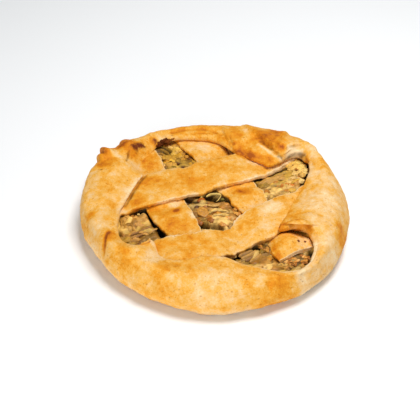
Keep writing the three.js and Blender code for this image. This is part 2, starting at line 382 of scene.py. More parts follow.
class NodeSheet:
    """A material's node tree, with short ways to add nodes and link them."""

    def __init__(self, name: str) -> None:
        """Make a new material with a shader and an output.

        Args:
            name: Name of the material.
        """
        self.material = bpy.data.materials.new(name)
        self.material.use_nodes = True
        self.tree = self.material.node_tree
        self.shader = self.tree.nodes["Principled BSDF"]

    def put(self, socket: bpy.types.NodeSocket, value: object) -> None:
        """Link a socket or set a value on an input.

        Args:
            socket: The input.
            value: A socket to link to it, or the value it takes.
        """
        if isinstance(value, bpy.types.NodeSocket):
            self.tree.links.new(value, socket)
        else:
            socket.default_value = value

    def add(self, kind: str, inputs: dict[str | int, object], **settings: object) -> bpy.types.Node:
        """Add a node.

        Args:
            kind: Blender's name of the node type, without its first word.
            inputs: Values or sockets for the node's inputs.
            settings: The node's own options.

        Returns:
            The node.
        """
        node = self.tree.nodes.new("ShaderNode" + kind)
        for key, value in settings.items():
            setattr(node, key, value)
        for key, value in inputs.items():
            self.put(node.inputs[key], value)
        return node

    def mark(self, name: str) -> bpy.types.Node:
        """Read a mark of the mesh."""
        return self.add("Attribute", {}, attribute_name=name)

    def grain(self, kind: Grain) -> bpy.types.NodeSocket:
        """Noise with features of a set size, fixed to the piece.

        Args:
            kind: The noise to make.

        Returns:
            Values that lie about a half.
        """
        place = self.add("TexCoord", {}).outputs["Object"]
        inputs = {
            "Vector": place,
            "Scale": 1.0 / (kind.size * MM),
            "Detail": kind.detail,
            "Roughness": kind.roughness,
        }
        return self.add("TexNoise", inputs).outputs["Fac"]

    def math(self, operation: str, *values: object) -> bpy.types.NodeSocket:
        """Result of an operation on numbers."""
        return self.add("Math", dict(enumerate(values)), operation=operation).outputs[0]

    def around(self, value: bpy.types.NodeSocket, gain: float) -> bpy.types.NodeSocket:
        """Noise moved to lie about zero and scaled."""
        return self.math("MULTIPLY_ADD", value, gain, -0.5 * gain)

    def between(self, value: bpy.types.NodeSocket, low: float, high: float) -> bpy.types.NodeSocket:
        """Eased share of the way from low to high."""
        inputs = {"Value": value, "From Min": low, "From Max": high}
        return self.add("MapRange", inputs, interpolation_type="SMOOTHSTEP").outputs["Result"]

    def ramp(self, value: bpy.types.NodeSocket, stops: Sequence[tuple[float, str]]) -> bpy.types.NodeSocket:
        """Colour from a scale of colours.

        Args:
            value: Place on the scale, from 0 to 1.
            stops: Places on the scale and their colours, rising.

        Returns:
            The colour.
        """
        node = self.add("ValToRGB", {"Fac": value})
        scale = node.color_ramp
        while len(scale.elements) < len(stops):
            scale.elements.new(0.5)
        for element, (place, code) in zip(scale.elements, stops):
            element.position = place
            element.color = linear(code)
        return node.outputs["Color"]

    def mix(self, share: object, a: object, b: object, blend: str = "MIX") -> bpy.types.NodeSocket:
        """Blend of two colours."""
        inputs = {"Factor": share, 6: a, 7: b}
        return self.add("Mix", inputs, data_type="RGBA", blend_type=blend).outputs[2]

    def bump(self, height: bpy.types.NodeSocket, distance: float, strength: float) -> bpy.types.NodeSocket:
        """Normal of a fine relief, its height in millimetres."""
        inputs = {"Height": height, "Distance": distance * MM, "Strength": strength}
        return self.add("Bump", inputs).outputs["Normal"]


@dataclass(frozen=True)
class DoughFinish:
    """Baked dough: pale to golden to brown, mottled, with specks and fine pores, and painted shade where its
    mesh marks it.
    """

    name: str
    scale: tuple[tuple[float, str], ...] = (
        (0.00, "f4d8a8"),
        (0.22, "efc385"),
        (0.42, "ebae4c"),
        (0.58, "e4961f"),
        (0.74, "d8800f"),
        (0.88, "c26c0e"),
        (1.00, "a2500b"),
    )
    char: str = "6a2a0e"
    painted_shade: str = "4e2c12"
    painted_shade_share: float = 0.7
    broad: Grain = Grain(17.0, 0.7)
    mottle: Grain = Grain(5.0, 0.75, 4.0, 0.65)
    pores: Grain = Grain(1.3, 0.4, 2.0, 0.6)
    specks: Grain = Grain(1.7, 0.42, 0.0)
    speck_range: Row = (0.72, 0.82)
    burn_gain: float = 1.6
    burn_range: Row = (0.25, 0.95)
    rough: float = 0.66
    rough_gain: float = 0.2
    shine: float = 0.18
    mottle_height: float = 1.5
    relief: Row = (0.5, 0.6)

    def material(self) -> bpy.types.Material:
        """Make the material.

        Returns:
            A material that reads the marks toast, burn and painted_shade of its mesh; painted_shade mixes in
            a dark brown as painted shade.
        """
        sheet = NodeSheet(self.name)
        toast = sheet.mark("toast").outputs["Fac"]
        burn = sheet.mark("burn").outputs["Fac"]
        painted_shade = sheet.mark("painted_shade").outputs["Fac"]
        broad, mottle, pores = (sheet.grain(kind) for kind in (self.broad, self.mottle, self.pores))
        shade = sheet.math("ADD", toast, sheet.around(broad, self.broad.gain))
        shade = sheet.math("ADD", shade, sheet.around(mottle, self.mottle.gain))
        shade = sheet.math("ADD", shade, sheet.around(pores, self.pores.gain))
        colour = sheet.ramp(shade, self.scale)
        speck = sheet.between(sheet.grain(self.specks), *self.speck_range)
        darkest = linear(self.scale[-1][1])
        colour = sheet.mix(sheet.math("MULTIPLY", speck, self.specks.gain), colour, darkest)
        burnt = sheet.math("ADD", burn, sheet.around(mottle, self.burn_gain))
        colour = sheet.mix(sheet.between(burnt, *self.burn_range), colour, linear(self.char))
        # Painted shade: creases, the feet of walls and the foot of the crust are darkened towards a dark
        # brown.
        deep = sheet.math("MULTIPLY", painted_shade, self.painted_shade_share)
        colour = sheet.mix(deep, colour, linear(self.painted_shade))
        sheet.put(sheet.shader.inputs["Base Color"], colour)
        rough = sheet.math("ADD", sheet.around(mottle, self.rough_gain), self.rough)
        sheet.put(sheet.shader.inputs["Roughness"], rough)
        sheet.put(sheet.shader.inputs["Specular IOR Level"], self.shine)
        height = sheet.math("ADD", pores, sheet.math("MULTIPLY", mottle, self.mottle_height))
        sheet.put(sheet.shader.inputs["Normal"], sheet.bump(height, *self.relief))
        return sheet.material


@dataclass(frozen=True)
class VegetableFinish:
    """Moist roasted vegetable: each piece's own tint, streaked and mottled."""

    name: str
    streak: float
    rough: float
    gain: float = 1.0
    shine: float = 0.3
    fine: Grain = Grain(0.9, 0.5)
    rough_gain: float = 0.3
    relief: Row = (0.5, 0.6)

    def material(self) -> bpy.types.Material:
        """Make the material.

        Returns:
            A material that reads the mark tint of its mesh.
        """
        sheet = NodeSheet(self.name)
        tint = sheet.mark("tint").outputs["Color"]
        mottle = sheet.grain(Grain(self.streak, self.gain, 3.0, 0.6))
        fine = sheet.grain(self.fine)
        shade = sheet.math("ADD", sheet.around(mottle, self.gain), 1.0)
        shade = sheet.math("ADD", shade, sheet.around(fine, self.fine.gain))
        grey = sheet.add("CombineColor", {0: shade, 1: shade, 2: shade}).outputs[0]
        sheet.put(sheet.shader.inputs["Base Color"], sheet.mix(1.0, tint, grey, "MULTIPLY"))
        rough = sheet.math("ADD", sheet.around(fine, self.rough_gain), self.rough)
        sheet.put(sheet.shader.inputs["Roughness"], rough)
        sheet.put(sheet.shader.inputs["Specular IOR Level"], self.shine)
        height = sheet.math("ADD", fine, mottle)
        sheet.put(sheet.shader.inputs["Normal"], sheet.bump(height, *self.relief))
        return sheet.material


@dataclass(frozen=True)
class FloorFinish:
    """Plain pale floor."""

    name: str = "pale_floor"
    colour: str = "fdfdfd"
    rough: float = 0.9
    shine: float = 0.1

    def material(self) -> bpy.types.Material:
        """Make the material.

        Returns:
            A plain material.
        """
        sheet = NodeSheet(self.name)
        sheet.put(sheet.shader.inputs["Base Color"], linear(self.colour))
        sheet.put(sheet.shader.inputs["Roughness"], self.rough)
        sheet.put(sheet.shader.inputs["Specular IOR Level"], self.shine)
        return sheet.material


@dataclass(frozen=True)
class RimCrest:
    """Height of the rim's crest in a direction, and how square its outer shoulder is."""

    at: float
    height: float
    square: float = 0.0


@dataclass(frozen=True)
class RimEdge:
    """The point of the rim's free edge that belongs to a direction of the outline."""

    at: float
    x: float
    y: float
    lip: float
    under: float
    round_off: float = 2.4
    tone: float = -0.12


@dataclass(frozen=True)
class Fold:
    """Dough that stands up on the left of a line and falls away over a run."""

    start: Row
    end: Row
    rise: float
    run: float
    edge: float = 1.2


@dataclass(frozen=True)
class Crease:
    """A line pressed or cracked into the dough, with its browning and the painted shade laid in its depth."""

    path: tuple[Row, ...]
    depth: float
    width: float
    toast: float = 0.0
    # Strength of the painted shade laid in the crease.
    dark: float = 0.0


def pressed(grid: Array, creases: Sequence[Crease], mask: Array) -> tuple[Array, Array, Array]:
    """What creases leave on a surface.

    Args:
        grid: Points of the surface.
        creases: The creases.
        mask: Where the surface takes them, from 0 to 1.

    Returns:
        Depth, browning and painted shade at each point.
    """
    depth, toast, dark = (np.zeros(grid.shape[:-1]) for _ in range(3))
    wander, unevenness = Bumps(0.5, 5, 14, 2), Bumps(0.4, 4, 15)
    for crease in creases:
        away = path_distance(grid[..., :2], crease.path) + wander.at(grid)
        mark = bell(away / crease.width) * mask * (0.8 + unevenness.at(grid))
        depth = depth + crease.depth * mark
        toast = toast + crease.toast * mark
        # Painted shade along the crease.
        dark = np.maximum(dark, crease.dark * mark)
    return depth, toast, dark


@dataclass
class Crust:
    """Floor, wall and folded rim of the tart in one piece of dough.

    A swell is a direction, its spread in degrees and how far the outline stands out there. A patch or burn
    is x, y, radius and strength. A shoulder is a share of the rim's width, a further inset and a share of
    the crest's height. A bend of the lip is a share of its rounding and of the way down to the underside.
    """

    outer_radius: float = 110.0
    floor_thickness: float = 5.0
    wall_thickness: float = 10.0
    strip_bed: float = 20.0
    foot_inset: float = 12.0
    toe: Row = (4.6, 2.4)
    belly: float = 0.42
    shoulders: tuple[Row, ...] = ((0.06, 1, 0.66), (0.18, 2, 0.89))
    crest_share: float = 0.47
    fall: Row = (0.72, 0.45)
    lip_bends: tuple[Row, ...] = ((0.2, 0.28), (0.1, 0.65))
    blisters: tuple[Bumps, ...] = (Bumps(0.9, 26, 11, 2), Bumps(0.45, 8, 12, 2), Bumps(0.2, 2.6, 13))
    pale_foot: float = 0.12
    painted_foot_shade: float = 0.15
    fine_steps: int = 2880
    nudge: float = 0.25
    stations: int = 840
    span_steps: tuple[int, ...] = (6, 10, 8, 8, 16, 12, 14, 5, 4, 5)
    base_toast: float = 0.42
    crests: tuple[RimCrest, ...] = (
        RimCrest(-12, 36.5),
        RimCrest(20, 34),
        RimCrest(39, 36, 0.3),
        RimCrest(50, 36, 0.35),
        RimCrest(66, 34.5),
        RimCrest(96, 32.2),
        RimCrest(120, 31.7),
        RimCrest(138, 34, 0.1),
        RimCrest(150, 36, 0.6),
        RimCrest(164, 36, 0.55),
        RimCrest(178, 34, 0.5),
        RimCrest(214, 32.5),
        RimCrest(241, 31.5),
        RimCrest(272, 30),
        RimCrest(300, 27),
        RimCrest(309, 26.5),
        RimCrest(327, 32),
        RimCrest(338, 37),
    )
    edges: tuple[RimEdge, ...] = (
        RimEdge(-20, 51.6, -43.6, 35.6, 27.4, 2.6, 0.16),
        RimEdge(-14, 53.6, -31.0, 32.6, 26.6, 2.2, 0.2),
        RimEdge(-9, 58.1, -19.4, 30.0, 25.6, 2.2, 0.16),
        RimEdge(-2, 63.4, -8.0, 28.8, 25.0, 2.2, 0.14),
        RimEdge(5, 68.4, 3.0, 28.0, 24.4, 2.2, 0.14),
        RimEdge(11, 72.5, 12.0, 28.4, 24.4, 2.2, 0.14),
        RimEdge(16, 76.0, 20.0, 29.8, 25.0, 2.4, 0.05),
        RimEdge(22, 79.3, 30.0, 31.0, 25.0),
        RimEdge(28, 80.6, 42.3, 31.5, 25.5),
        RimEdge(34, 77.6, 51.2, 31.2, 25.8, 2.0, 0.0),
        RimEdge(38.5, 72.1, 55.6, 31.6, 26.0, 1.8, -0.25),
        RimEdge(42.5, 64.5, 52.4, 31.8, 26.2, 1.8, -0.25),
        RimEdge(45.5, 58.0, 46.3, 32.0, 26.6, 1.8, -0.05),
        RimEdge(49, 47.5, 39.6, 31.6, 27.0, 2.4, 0.16),
        RimEdge(54, 41.0, 43.6, 31.2, 26.4, 2.6, 0.2),
        RimEdge(62, 29.5, 51.0, 31.4, 26.4, 2.8, 0.16),
        RimEdge(71, 18.6, 57.8, 31.4, 26.6, 2.6, 0.08),
        RimEdge(79, 11.0, 66.0, 31.4, 27.6, 2.2, -0.05),
        RimEdge(86, 4.8, 73.6, 30.8, 26.0, 2.2, -0.05),
        RimEdge(93, -4.0, 78.6, 30.4, 25.0, 2.2, -0.05),
        RimEdge(103, -18.5, 80.5, 30.2, 25.0, 2.2, -0.05),
        RimEdge(113, -33.5, 80.3, 30.2, 25.0, 2.2, -0.05),
        RimEdge(120, -43.0, 78.2, 30.2, 25.0, 2.2, 0.0),
        RimEdge(124.5, -49.0, 74.5, 29.4, 24.4),
        RimEdge(131, -55.0, 64.5, 26.6, 23.0, 2.0, 0.0),
        RimEdge(139, -59.0, 52.0, 26.0, 22.6, 2.0, 0.0),
        RimEdge(148, -61.0, 38.0, 26.4, 22.8, 2.0, 0.0),
        RimEdge(155, -60.2, 27.5, 30.2, 28.2, 1.4, -0.16),
        RimEdge(162, -63.0, 20.5, 30.8, 28.8, 1.4, -0.18),
        RimEdge(171, -66.8, 10.8, 30.2, 28.2, 1.4, -0.22),
        RimEdge(182, -72.2, -2.8, 29.2, 26.6, 1.6, -0.3),
        RimEdge(191, -76.0, -14.5, 28.6, 25.2, 2.0, -0.2),
        RimEdge(201, -77.0, -29.5, 29.6, 25.0),
        RimEdge(210, -74.7, -44.0, 29.8, 25.0),
        RimEdge(217, -70.2, -52.2, 29.8, 25.2),
        RimEdge(222, -62.1, -56.1, 29.8, 26.0, 2.4, -0.2),
        RimEdge(225.5, -55.2, -54.6, 29.8, 26.6, 2.4, -0.28),
        RimEdge(229, -50.1, -49.8, 29.6, 26.8, 2.4, -0.3),
        RimEdge(232, -46.6, -52.4, 29.2, 26.4, 2.4, -0.3),
        RimEdge(235.5, -43.9, -59.0, 28.6, 25.0, 2.2, -0.25),
        RimEdge(239, -41.6, -64.5, 28.0, 24.2, 2.0, -0.1),
        RimEdge(243.5, -37.4, -70.0, 27.9, 23.6, 2.0, 0.0),
        RimEdge(249, -29.0, -72.8, 28.4, 23.6, 2.0, 0.0),
        RimEdge(256, -19.0, -71.6, 28.9, 23.6, 2.0, 0.0),
        RimEdge(264, -9.0, -69.4, 29.0, 23.6, 2.0, 0.0),
        RimEdge(272, 1.0, -68.6, 28.6, 23.6, 2.0, 0.0),
        RimEdge(279, 10.0, -70.4, 27.6, 23.4, 2.0, -0.05),
        RimEdge(286, 19.3, -75.0, 26.8, 23.0),
        RimEdge(292, 29.8, -77.7, 26.2, 22.4),
        RimEdge(298, 40.0, -79.8, 25.8, 22.0, 2.2, -0.2),
        RimEdge(303, 50.0, -82.4, 25.4, 21.5, 2.2, -0.28),
        RimEdge(308, 61.0, -81.4, 25.2, 21.2, 2.2, -0.3),
        RimEdge(313, 70.7, -76.0, 26.0, 21.8, 2.2, -0.3),
        RimEdge(318.5, 75.2, -67.0, 27.6, 23.0, 2.4, -0.28),
        RimEdge(324, 77.2, -57.0, 29.4, 24.2, 2.4, -0.22),
        RimEdge(328, 75.6, -48.4, 33.0, 22.6, 2.6, 0.0),
        RimEdge(330.5, 72.6, -42.0, 35.4, 23.2, 2.6, 0.1),
        RimEdge(333, 68.0, -39.4, 36.4, 23.8, 2.6, 0.12),
        RimEdge(335.5, 62.3, -40.2, 36.6, 26.6, 2.6, 0.02),
        RimEdge(338, 56.6, -42.8, 36.4, 27.6, 2.6, 0.02),
    )
    swells: tuple[Row, ...] = (
        (16, 20, 0.6), (98, 30, -1.5), (162, 18, 2.5), (188, 20, 1.4), (222, 36, -4),
        (322, 26, 2.5),
    )
    folds: tuple[Fold, ...] = (
        Fold((-104, 73), (-89, 42), 7.4, 6.5, 2.2),
        Fold((-110, 70), (-94, 38), 6.0, 7, 3),
        Fold((-85, 80), (-71, 48), 5.4, 9, 5),
        Fold((-90, 78), (-76, 46), 2.2, 6, 3),
        Fold((8, 84), (16, 60), 2.5, 9),
        Fold((29, 88), (58, 44), 4.2, 13, 0.9),
        Fold((54, 58), (67, 86), 4.5, 14, 2.2),
        Fold((79, 48), (92, 62), 3.0, 14, 2.2),
    )
    creases: tuple[Crease, ...] = (
        Crease(((-38, 86), (-26, 89.5), (-13, 90.3), (-2, 87.3), (6, 82)), 1.0, 1.4, 0.2, 0.15),
        Crease(((-25, 84), (-13, 85.6), (-2, 84)), 0.6, 1.2, 0.15),
        Crease(((13.7, 76.7), (15.2, 70), (16.2, 65.4)), 1.2, 0.9, 0.0, 0.6),
        Crease(((15, 64), (16, 61), (17.8, 58.6)), 1.2, 0.9, 0.0, 0.45),
        Crease(((18.6, 72), (19.4, 66), (20, 61)), -0.7, 1.3, -0.25),
        Crease(((18.3, 66.8), (21.1, 60), (25.5, 56.9), (30.8, 54), (39.2, 50.4), (47, 46.4)), 0.5, 3.2, 0.5),
        Crease(((38, 63), (41, 60), (47, 53.4), (53, 48.5), (56.9, 46.6)), -0.6, 1.4, -0.4),
        Crease(((40, 67), (43.6, 61), (46.6, 57), (50.6, 52.2), (54.8, 49.8)), 1.0, 1.0, 0.1, 0.75),
        Crease(
            ((54.5, 48.4), (59.6, 47.6), (65.1, 52.6), (69.5, 54.8), (73.7, 54), (77.2, 51.4), (79.8, 46)),
            *(0.4, 1.2, 0.0, 1.0),
        ),
        Crease(((62, 55), (64.6, 56.8), (68.5, 58.9), (73.8, 60.4)), 1.2, 1.2, 0.1, 0.5),
        Crease(((61, 52.6), (66, 55), (70, 56.8), (75.4, 56)), -0.8, 1.8, -0.2),
        Crease(((-72.4, 53), (-73.2, 50), (-74, 45.6), (-74.6, 41.8)), 1.2, 0.8, 0.1, 1.0),
        Crease(((-89, 50), (-85, 47.6), (-81, 45)), -0.7, 1.8, -0.35),
        Crease(((-47.1, -49.2), (-44, -54.2), (-41.3, -58.7)), 1.0, 1.0, 0.0, 0.9),
        Crease(((-81.5, -44.9), (-83.3, -49.2), (-84.8, -54.2), (-85.7, -59.9)), 0.8, 1.3, 0.4, 0.35),
        Crease(((-42.5, -63), (-41.4, -70), (-36.5, -77.5), (-28, -80.8)), 0.7, 1.6, 0.1, 0.15),
        Crease(((41.6, -85), (52.6, -90), (64, -87.3), (75, -77.5), (80, -68)), 0.8, 1.2, 0.05, 0.1),
        Crease(((41, -94.6), (42.2, -102.8), (44, -110.9)), 0.8, 1.8, 0.2),
        Crease(((60, -28.6), (69, -24), (78, -25), (84, -31)), 0.8, 2.4, 0.12),
        Crease(
            ((51, -41.6), (56, -40.4), (62.6, -37.6), (69, -36.6), (73, -39.6), (76, -46)),
            *(0.2, 1.5, 0.28, 0.2),
        ),
    )
    patches: tuple[Row, ...] = (
        (-96, 53, 8, 0.4), (-92, 45, 7, 0.28), (-91, 34, 6, 0.2), (-96, 34.4, 3.6, 0.36),
        (-80, 60, 6, 0.36), (-78, 70, 7, 0.36), (-70, 62, 6, 0.16), (-99, -25, 4, 0.25),
        (-101, 13, 12, -0.12), (-81, -49, 6, 0.3), (-83, -54, 4, 0.15), (-74, -71, 10, 0.02),
        (-52, -88, 11, 0.1), (-34, -84, 8, 0.14), (-48, -68, 8, -0.25), (-34, -74, 8, -0.12),
        (-70, -92, 7, -0.25), (-7, -103, 13, -0.08), (10, -98, 11, -0.15), (46, -93, 7, 0.2),
        (34, -95, 4.5, -0.28), (36, -103, 5, 0.12), (64, -94, 6, 0.24), (-60, -92, 9, -0.14),
        (52, -94, 7, 0.16), (64, -85, 5, -0.25), (40, -108, 7, 0.12), (90, -6, 22, -0.18),
        (88, 19, 12, -0.12), (77, -19, 11, -0.14), (88, -60, 14, -0.2), (72, -88, 10, -0.14),
        (99, -37, 5, 0.34), (98, -47, 4, 0.3), (96, -21, 4, 0.14), (58, -38, 6, -0.06),
        (79, -33, 8, -0.14), (38, 79, 7, 0.3), (44, 70, 7, 0.4), (49, 61.5, 6, 0.36),
        (56, 66, 5, 0.3), (54, 78, 8, 0.34), (26, 69, 13, 0.16), (12, 80, 9, 0.1),
        (-99, -6, 14, -0.12), (-95, -52, 15, -0.12), (-86, -14, 8, 0.08), (78, -76, 9, -0.16),
        (-18, -86, 11, 0.1), (88, 9, 9, 0.05), (58.4, 57.6, 3, 0.34), (47, 44, 5, 0.16),
        (79.3, 48.2, 2.2, 0.5), (17, 91, 8, 0.2), (27, 86, 4, -0.3), (29, 78, 4, -0.25),
        (7, 83, 5, -0.16), (-12, 90, 24, 0.1), (-54, 75.5, 4.5, 0.4), (-70, -70, 8, 0.26),
        (66, 56, 6, -0.3), (57, 55, 4.5, 0.25), (65, -30, 5, 0.22), (-36, 90, 8, 0.14),
        (-97, 22, 8, 0.14), (-88, 4, 8, 0.1), (-80, -77, 10, -0.3), (86, 52, 6, -0.25),
        (-69, 53, 5, 0.2),
    )
    burns: tuple[Row, ...] = (
        (-68.2, 58.4, 3.7, 1.0), (-62.6, 65.6, 3.0, 0.9), (-66.2, 63, 3.0, 0.7),
        (-81.4, 58.6, 1.6, 0.5), (-95, 27.5, 2.2, 0.42), (-44, 80.5, 3.0, 0.4),
        (-53, 75.4, 3.4, 0.8), (-38, 83, 2.5, 0.6),
    )

    def crest_at(self, degrees: Array) -> tuple[Array, Array]:
        """Look up the rim's crest in some directions.

        Args:
            degrees: The directions.

        Returns:
            Height of the crest and squareness of the shoulder.
        """
        table = np.array([[crest.height, crest.square] for crest in self.crests])
        values = round_curve([crest.at for crest in self.crests], table, degrees)
        return values[:, 0], values[:, 1]

    def edge_at(self, degrees: Array) -> Array:
        """Free edge in some directions: x, y, lip, underside, rounding and tone."""
        table = np.array([[e.x, e.y, e.lip, e.under, e.round_off, e.tone] for e in self.edges])
        return round_curve([edge.at for edge in self.edges], table, degrees)

    def outer_at(self, degrees: Array) -> Array:
        """Radius of the outline in some directions.

        Args:
            degrees: The directions.

        Returns:
            A radius for each direction.
        """
        radius = np.full(np.shape(degrees), self.outer_radius)
        for at, spread, out in self.swells:
            radius = radius + out * bell(turn_from(degrees, at) / spread)
        return radius

    def directions(self) -> Array:
        """Space the sections evenly along the free edge and the outline together.

        Returns:
            The directions of the sections.
        """
        fine = np.linspace(0.0, FULL_TURN, self.fine_steps + 1)
        edge = np.linalg.norm(np.diff(self.edge_at(fine)[:, :2], axis=0), axis=1)
        outline = np.linalg.norm(np.diff(polar(fine, self.outer_at(fine)), axis=0), axis=1)
        run = np.concatenate([[0.0], np.cumsum(edge + outline)])
        return np.interp(np.arange(self.stations) / self.stations * run[-1], run, fine)

    def fold_lift(self, plan: Array) -> Array:
        """How far the overlapping folds stand out of the rim.

        Args:
            plan: Points of the plan.

        Returns:
            A height for each point.
        """
        lift = np.zeros(plan.shape[:-1])
        for fold in self.folds:
            start = np.array(fold.start)
            line = np.array(fold.end) - start
            length = np.linalg.norm(line)
            along = (plan - start) @ (line / length)
            beside = (plan - start) @ (np.array([-line[1], line[0]]) / length)
            ends = smoothstep(along, -fold.run, 0) * (1 - smoothstep(along, length - fold.run, length))
            step = smoothstep(beside, -fold.edge, fold.edge)
            lift += fold.rise * ends * step * np.exp(-np.maximum(beside, 0.0) / fold.run)
        return lift

    def folded(self, shown: Array, out: Array, crest: Array) -> Array:
        """Raise the overlapping folds on the part of the sections that shows.

        Args:
            shown: Points of the sections, from the foot round the free edge.
            out: Each section's direction in the plan.
            crest: Height of each section's crest.

        Returns:
            The raised points.
        """
        tangent = np.gradient(shown, axis=1)
        slope = np.einsum("ijk,ik->ij", tangent[..., :2], out)
        normal = np.concatenate([out[:, None] * tangent[..., 2:], -slope[..., None]], axis=-1)
        normal /= np.maximum(np.linalg.norm(normal, axis=-1, keepdims=True), TINY)
        share = smoothstep(shown[..., 2] / crest[:, None], 0.3, 0.85)
        lip_start = sum(self.span_steps[:7])
        share[:, lip_start:] *= np.linspace(1.0, 0.6, share.shape[1] - lip_start)
        return shown + normal * (share * self.fold_lift(shown[..., :2]))[..., None]

    def sections(self, degrees: Array) -> Array:
        """Draw the crust's sections.

        Args:
            degrees: The directions of the sections.

        Returns:
            Points from the foot over the crest, round the free edge and down the inside.
        """
        crest, square = self.crest_at(degrees)
        table = self.edge_at(degrees)
        edge = table[:, :2]
        lip, under, round_off = table[:, 2:5].T
        outer = self.outer_at(degrees)
        width = outer - np.linalg.norm(edge, axis=1)
        round_off = np.minimum(round_off, width / 4)
        slack = 1 - square
        out = polar(degrees, np.ones_like(degrees))
        along = self.edge_at(degrees + self.nudge)[:, :2] - self.edge_at(degrees - self.nudge)[:, :2]
        into = np.stack([along[:, 1], -along[:, 0]], axis=1)
        into /= np.linalg.norm(into, axis=1, keepdims=True)

        def radial(radius: Array, z: Array) -> Array:
            """Points at some radius and height."""
            return np.column_stack([out * np.reshape(radius, (-1, 1)), np.broadcast_to(z, degrees.shape)])

        def beside(depth: Array, z: Array) -> Array:
            """Points inside the free edge by some depth."""
            return np.column_stack([edge + into * np.reshape(depth, (-1, 1)), z])

        def between(share: float, z: Array) -> Array:
            """Points on the way from the outline to the free edge."""
            return radial(outer, z) * (1 - share) + beside(0 * width, z) * share

        toe_inset, toe_height = self.toe
        fall, drop = self.fall
        controls = np.stack(
            [
                radial(outer - self.foot_inset, 0 * crest),
                radial(outer - toe_inset, toe_height + 0 * crest),
                radial(outer, crest * self.belly),
                *(
                    radial(outer - (part * width + inset) * slack, crest * up)
                    for part, inset, up in self.shoulders
                ),
                between(self.crest_share, crest),
                between(fall, crest * (1 - drop) + lip * drop),
                beside(round_off, lip),
                *(beside(part * round_off, lip * (1 - down) + under * down) for part, down in self.lip_bends),
                beside(round_off, under),
            ],
            axis=1,
        )
        shown = self.folded(spline(controls, self.span_steps), out, crest)
        wall = outer - self.wall_thickness
        inside = np.stack(
            [
                radial(np.maximum(outer - width + round_off + 1, wall), under - 0.5),
                radial(wall, 0 * crest + self.strip_bed / 2),
                radial(wall - 3, 0 * crest + self.floor_thickness),
            ],
            axis=1,
        )
        return np.concatenate([shown, inside], axis=1)

    def body(self) -> Body:
        """Shape the crust and mark its browning and painted shade.

        Returns:
            The closed crust.
        """
        degrees = self.directions()
        grid = np.swapaxes(self.sections(degrees), 0, 1)
        plan = grid[..., :2]
        rings = np.arange(grid.shape[0])[:, None]
        shown_rings = sum(self.span_steps)
        shown = smoothstep(rings, 1, 5) * (1 - smoothstep(rings, shown_rings - 8, shown_rings))
        high = smoothstep(grid[..., 2], 14, 24) * shown
        depth, brown, painted_shade = pressed(grid, self.creases, high)
        lift = sum(bumps.at(grid) for bumps in self.blisters) - depth
        toast = self.base_toast + patches_at(plan, self.patches) + brown
        edge = smoothstep(rings, sum(self.span_steps[:6]) + 7, sum(self.span_steps[:7]) + 2)
        toast = toast + edge * self.edge_at(degrees)[:, 5]
        toast = toast - self.pale_foot * (1 - smoothstep(grid[..., 2], 3, 16))
        # Painted shade: the wall is darkened towards the floor.
        painted_shade = np.maximum(painted_shade, self.painted_foot_shade * (1 - smoothstep(grid[..., 2], 2, 12)))
        burn = patches_at(plan, self.burns) * high
        grid = grid + outward(grid) * (lift * shown)[..., None]
        marks = {"toast": toast, "burn": burn, "painted_shade": painted_shade}
        return loft(grid, np.zeros(3), np.array([0.0, 0.0, self.floor_thickness]), marks)

    def dress(self, finish: DoughFinish) -> bpy.types.Object:
        """Make the crust's piece and give it its finish.

        Args:
            finish: The finish of the dough.

        Returns:
            The piece.
        """
        piece = self.body().to_object("baked_crust")
        piece.data.materials.append(finish.material())
        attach(piece, "root")
        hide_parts("crust")
        return piece


class Layer(Enum):
    """Whether a strip lies on the filling or over the strips of the other way."""

    LOWER = "lower"
    UPPER = "upper"


@dataclass
class LatticeStrip:
    """One strip of dough: the points its middle runs through and its widths from end to end.

    A patch, burn, swell or painted shade is x, y, radius and strength; a painted shade darkens the foot of
    the walls further up as shade and browns their tone. A flare or skirt is the side it is on, 1 for left and
    -1 for right, its distance from the strip's far end, its spread and how far it stands out. A skirt moves
    the foot of the side alone. Sides are the tone of the left and right walls, and painted_shade_reach is how
    far up them the painted shade at their foot reaches.
    """

    node: str
    piece: str
    layer: Layer
    middle: tuple[Row, ...]
    widths: tuple[float, ...]
    patches: tuple[Row, ...] = ()
    burns: tuple[Row, ...] = ()
    swells: tuple[Row, ...] = ()
    creases: tuple[Crease, ...] = ()
    flares: tuple[Row, ...] = ()
    skirts: tuple[Row, ...] = ()
    painted_shades: tuple[Row, ...] = ()
    sides: tuple[float, float] = (0.16, 0.16)
    painted_shade_reach: tuple[float, float] = (0.36, 0.36)
    ragged: float = 0.45
    round_end: float = 0.0
    seed: int = 0
    steps: int = 230

    @property
    def length(self) -> float:
        """Length of the strip along its middle's points."""
        return sum(math.dist(a, b) for a, b in zip(self.middle[:-1], self.middle[1:]))

    def line(self, count: int) -> tuple[Array, Array, Array]:
        """Follow the strip's middle.

        Args:
            count: How many even steps to take.

        Returns:
            Points of the plan, directions across to the left, and half-widths.
        """
        flat = np.array([(x, y, 0.0) for x, y in self.middle])
        curve = spline(flat, [80] * (len(self.middle) - 1))[:, :2]
        share = np.linspace(0.0, 1.0, count + 1)
        points = evenly(curve, share)
        tangent = np.gradient(points, axis=0)
        tangent /= np.linalg.norm(tangent, axis=1, keepdims=True)
        across = np.stack([-tangent[:, 1], tangent[:, 0]], axis=1)
        place = share * (len(self.widths) - 1)
        k = np.minimum(np.floor(place).astype(int), len(self.widths) - 2)
        ease = smoothstep(place - k, 0.0, 1.0)
        wide = np.array(self.widths, float)
        return points, across, (wide[k] * (1 - ease) + wide[k + 1] * ease) / 2


